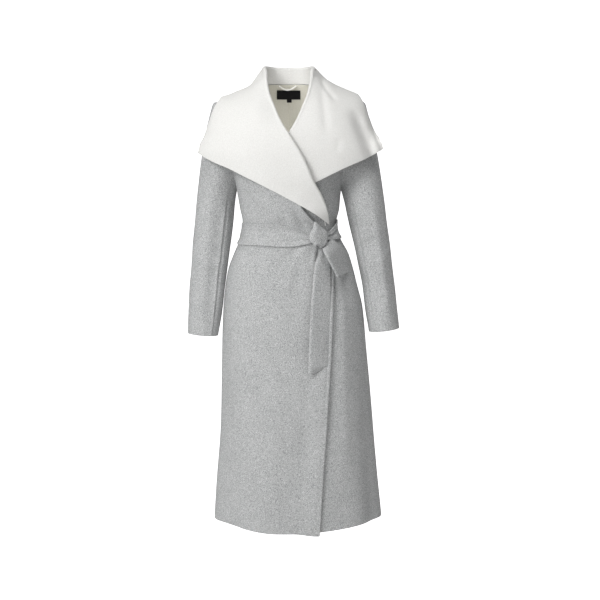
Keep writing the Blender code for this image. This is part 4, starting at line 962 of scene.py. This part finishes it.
# Rings of the knot's outline from the back pole over the rim to the front pole
def knotRings():
    turned = np.arange(0, 360, knot["step"])[None, :]
    step = np.radians(np.linspace(-knot["poles"], knot["poles"], knot["rings"]))[:, None]
    reach = row(knot, "reach", turned) * np.cos(step) ** knot["bulge"]
    x = knot["centre"][0] + reach * np.cos(np.radians(turned))
    z = knot["centre"][1] + reach * np.sin(np.radians(turned))
    outer = (1 + np.sin(step + 0 * turned)) / 2
    lift = wrap["overFront"] + belt["clear"] + belt["thick"] - knot["sunk"] + knot["thick"] * outer
    lift = lift + outer**2 * (marksDepth(x, z, knot["marks"]) - knot["tilt"] * (x - knot["ridgeX"]))
    lift = lift + ease(outer, *knot["lipFrom"]) * marksDepth(x, z, knot["lip"])
    return frontPoint(x, z, np.maximum(lift, knot["lowest"]))


# A closed solid through rings of points, with a fan round each pole
def closedPiece(node, rings, lowPole, highPole, material, stuff="_cloth"):
    count, around = rings.shape[:2]
    index = np.arange(count * around).reshape(count, around) + 1
    beside = np.roll(index, -1, axis=1)
    faces = np.stack([index[:-1], beside[:-1], beside[1:], index[1:]], axis=-1).reshape(-1, 4).tolist()
    last = count * around + 1
    faces += np.stack([beside[0], index[0], 0 * index[0]], axis=-1).tolist()
    faces += np.stack([index[-1], beside[-1], last + 0 * index[-1]], axis=-1).tolist()
    points = np.concatenate([lowPole[None], rings.reshape(-1, 3), highPole[None]])
    settle(addMesh(node + stuff, points, faces, [material]), node)


rings = knotRings()
closedPiece("belt_knot", rings, rings[0].mean(axis=0), rings[-1].mean(axis=0), "belt")

# Tails: the long one's edges by level, the short one's from the knot down. "tilt" is how far the
# inner edge stands off, "turned" the drop of its rounded edge and the share it takes; "gathers" and
# "waves" are size, waves across, and phase or waves along
tails = {
    "thick": 0.0035, "columns": 26,
    "long": {
        "z": (-0.7575, -0.7561, -0.747, -0.737, -0.7, -0.616, -0.5687, -0.5425, -0.485, -0.452, -0.433),
        "inner": (0.0545, 0.054, 0.0535, 0.0538, 0.0545, 0.058, 0.061, 0.0635, 0.069, 0.0795, 0.085),
        "outer": (0.066, 0.07, 0.085, 0.1, 0.1014, 0.1053, 0.1075, 0.108, 0.107, 0.1065, 0.104),
        "tilt": 0.014, "tiltFrom": (-0.446, -0.5), "turned": (0.0028, 0.075), "turnedFrom": (-0.446, -0.47),
        "gathered": (-0.53, -0.44), "gathers": (0.0009, 9.0, 0.0), "waves": (0.0008, 3.1, 17.0),
        "clear": 0.0014, "rows": (16, 90), "corner": -0.737,
    },
    "short": {
        "tilt": 0.03072, "tiltFrom": (0.05, 0.5), "turned": (0.0034, 0.085), "turnedFrom": (0.15, 0.4),
        "gathers": (0.0012, 8.0, 0.6), "waves": (0.0007, 4.0, 3.0), "clear": 0.003, "rows": 30,
        "drop": 0.008, "dropFrom": (0.2, 0.6), "tiltPower": 1.15,
        "innerX": (0.0855, 0.0905, 0.0998, 0.113, 0.1259), "innerZ": (-0.43, -0.441, -0.459, -0.484, -0.5086),
        "outerX": (0.112, 0.1225, 0.1399, 0.15, 0.1596), "outerZ": (-0.412, -0.419, -0.4357, -0.468, -0.5008),
    },
}


# Depth across a tail: gathers that run out of the knot, slow waves further down, and the turned edge
def tailDepth(rows, share, at, gathered):
    (size, count, phase), (slow, across, along) = rows["gathers"], rows["waves"]
    waves = slow * np.sin(share * across + at * along) * (1 - gathered)
    drop, width = rows["turned"]
    turned = drop * ease(share, width, 0.0) ** 2 * ease(at, *rows["turnedFrom"])
    return size * gathered * np.sin(share * count + phase) + waves - turned


def longTailGrid():
    rows = tails["long"]
    foot, corner, head = rows["z"][0], rows["corner"], rows["z"][-1]
    low, high = rows["rows"]
    z = np.concatenate([np.linspace(foot, corner, low)[:-1], np.linspace(corner, head, high)])[:, None]
    share = np.linspace(0, 1, tails["columns"])[None, :]
    inner, outer = row(rows, "inner", z), row(rows, "outer", z)
    x = inner + (outer - inner) * share
    depth = tailDepth(rows, share, z, ease(z, *rows["gathered"]))
    tilted = rows["tilt"] * (1 - share) * ease(z, *rows["tiltFrom"])
    return frontPoint(x, z + 0 * x, wrap["overFront"] + rows["clear"] + depth + tilted)


def shortTailGrid():
    rows = tails["short"]
    t = np.linspace(0, 1, rows["rows"])[::-1, None]
    share, at = np.linspace(0, 1, tails["columns"])[None, :], np.linspace(0, 1, len(rows["innerX"]))
    innerX, innerZ, outerX, outerZ = (curve(t, at, rows[key])
                                      for key in ("innerX", "innerZ", "outerX", "outerZ"))
    x, z = innerX + (outerX - innerX) * share, innerZ + (outerZ - innerZ) * share
    depth = tailDepth(rows, share, t, 1 - t) - rows["drop"] * share * ease(t, *rows["dropFrom"])
    tilted = rows["tilt"] * (1 - share) ** rows["tiltPower"] * ease(t, *rows["tiltFrom"])
    return frontPoint(x, z, wrap["overFront"] + tails["thick"] + rows["clear"] + depth + tilted)


for node, grid in (("belt_tail_long", longTailGrid()), ("belt_tail_short", shortTailGrid())):
    clothPiece(node, grid, ("belt", "belt"), tails["thick"], 1, (0, -1, 0), edge=0.001)
print("belt done")

# Label, size tab and loop inside the back neck
inside = {
    "label": {"x": (-0.034, 0.031), "z": (-0.0142, -0.0378), "thick": 0.0008, "clear": 0.0012},
    "size_tab": {"x": (-0.0063, 0.0068), "z": (-0.035, -0.0462), "thick": 0.0006, "clear": 0.0004},
}
loop = {
    "x": (-0.0285, 0.0205), "top": -0.0015, "sag": 0.0095, "radius": 0.0021, "clear": 0.0006, "off": 0.0049,
    "rings": 60, "turn": 24.0,
}
insideFine = (40, 16)  # columns and rows of the two labels


# Point inside the back at x and z, moved in along the surface's normal
def insideBack(x, z, clear):
    near = 0.002
    here, beside, above = (bodyPoint(180 - bodyAngle(atX, atZ), atZ)
                           for atX, atZ in ((x, z), (x + near, z), (x, z - near)))
    inward = unit(np.cross(beside - here, above - here))
    inward = inward * -np.sign(inward[..., 1:2])
    return here + inward * np.asarray(cloth["thick"] + clear)[..., None]


for name, sizes in inside.items():
    x, z = np.meshgrid(np.linspace(*sizes["x"], insideFine[0]), np.linspace(*sizes["z"], insideFine[1]))
    grid = insideBack(x, z, sizes["clear"])
    clothPiece(name, grid, ("satin", "satin"), sizes["thick"], 1, (0, -1, 0), edge=0.0002, stuff="_satin")

# The loop: a round profile along a parabola that stands off the back
along = np.linspace(-1, 1, loop["rings"])
bow = 1 - along**2
loopX = sum(loop["x"]) / 2 + (loop["x"][1] - loop["x"][0]) / 2 * along
line = insideBack(loopX, loop["top"] - loop["sag"] * bow, loop["clear"] + loop["radius"] + loop["off"] * bow)
way = unit(np.gradient(line, axis=0))
sideWay = unit(np.cross(way, (0.0, 1.0, 0.0)))
otherWay = np.cross(way, sideWay)
turned = np.radians(np.arange(0, 360, loop["turn"]))[None, :, None]
rings = sideWay[:, None] * np.cos(turned) + otherWay[:, None] * np.sin(turned)
rings = line[:, None] + loop["radius"] * rings
# Its cord colour is the paler ivory: painted light on the loop
closedPiece("hanger_loop", rings, line[0], line[-1], "cord", "_cord")
print("label, tab and loop done")

# Lights: name, place, aim, size, power. The floor looks white and gives a part of that as light
studio = {
    "world": 0.165, "floorSeen": 0.88, "floorGlow": 0.14, "floorColour": (0.9, 0.9, 0.9, 1), "floorRough": 0.9,
    "lights": (
        ("key", (-2.35, -3.0, 1.5), (0.0, 0.0, -0.55), 1.6, 106.0),
        ("top", (0.4, -1.5, 2.3), (0.0, 0.0, -0.1), 1.4, 34.0),
        ("fill", (-0.9, -3.9, 0.0), (0.0, 0.0, -0.5), 1.6, 19.0),
        ("in the neck", (0.0, -0.03, -0.19), (0.0, 0.07, -0.03), 0.09, 0.11),
    ),
    "camera": {"place": (0.0297, -3.2, -0.2525), "down": 5.88, "lens": 71.1, "sensor": 36.0},
}
floor = {
    "z": -1.45, "halfWide": 9.0, "near": -9.0, "bend": 4.0, "radius": 2.5, "height": 7.0,
    "columns": 5, "bendRows": 24,
}
scene = bpy.context.scene
scene.view_settings.view_transform = "Standard"


# A floor that bends up into a wall: a straight, a quarter circle and a straight, drawn across
def backdropGrid():
    x = np.linspace(-floor["halfWide"], floor["halfWide"], floor["columns"])[None, :]
    turn, radius = np.radians(np.linspace(0, 90, floor["bendRows"])), floor["radius"]
    y = np.concatenate([[floor["near"]], floor["bend"] + radius * np.sin(turn), [floor["bend"] + radius]])
    z = np.concatenate([[floor["z"]], floor["z"] + radius * (1 - np.cos(turn)), [floor["height"]]])
    return np.stack(np.broadcast_arrays(x, y[:, None], z[:, None]), axis=-1)


# Full white to the eye, a part of it as light on the coat: glow = seen * share + the rest
looks["floor"], tree, shader = newMaterial("pale floor")
seen = addNode(tree, "ShaderNodeLightPath")["Is Camera Ray"]
glow = addMath(tree, "MULTIPLY_ADD", seen, studio["floorSeen"], studio["floorGlow"])
feed(tree, shader, {
    "Base Color": studio["floorColour"], "Roughness": studio["floorRough"],
    "Emission Color": (1, 1, 1, 1), "Emission Strength": glow,
})
grid = backdropGrid()
addMesh("floor", grid, gridQuads(*grid.shape[:2]), ["floor"])

scene.world = bpy.data.worlds.new("studio")
scene.world.use_nodes = True
sky = {"Color": (1.0, 1.0, 1.0, 1), "Strength": studio["world"]}
feed(scene.world.node_tree, scene.world.node_tree.nodes["Background"], sky)


def softLight(name, place, aim, size, power):
    data = bpy.data.lights.new(name, "AREA")
    data.shape, data.size, data.energy = "SQUARE", size, power
    lamp = bpy.data.objects.new(name, data)
    lamp.location, lamp.visible_camera = place, False
    x, y, z = np.array(aim) - np.array(place)
    lamp.rotation_euler = (math.atan2(math.hypot(x, y), -z), 0, math.atan2(y, x) - math.pi / 2)
    scene.collection.objects.link(lamp)


for light in studio["lights"]:
    softLight(*light)

view = studio["camera"]
camera = bpy.data.objects.new("camera", bpy.data.cameras.new("camera"))
camera.data.lens, camera.data.sensor_width = view["lens"], view["sensor"]
camera.location, camera.rotation_euler = view["place"], (math.radians(90 - view["down"]), 0.0, 0.0)
scene.collection.objects.link(camera)
scene.camera = camera
print("stage, light and camera done")
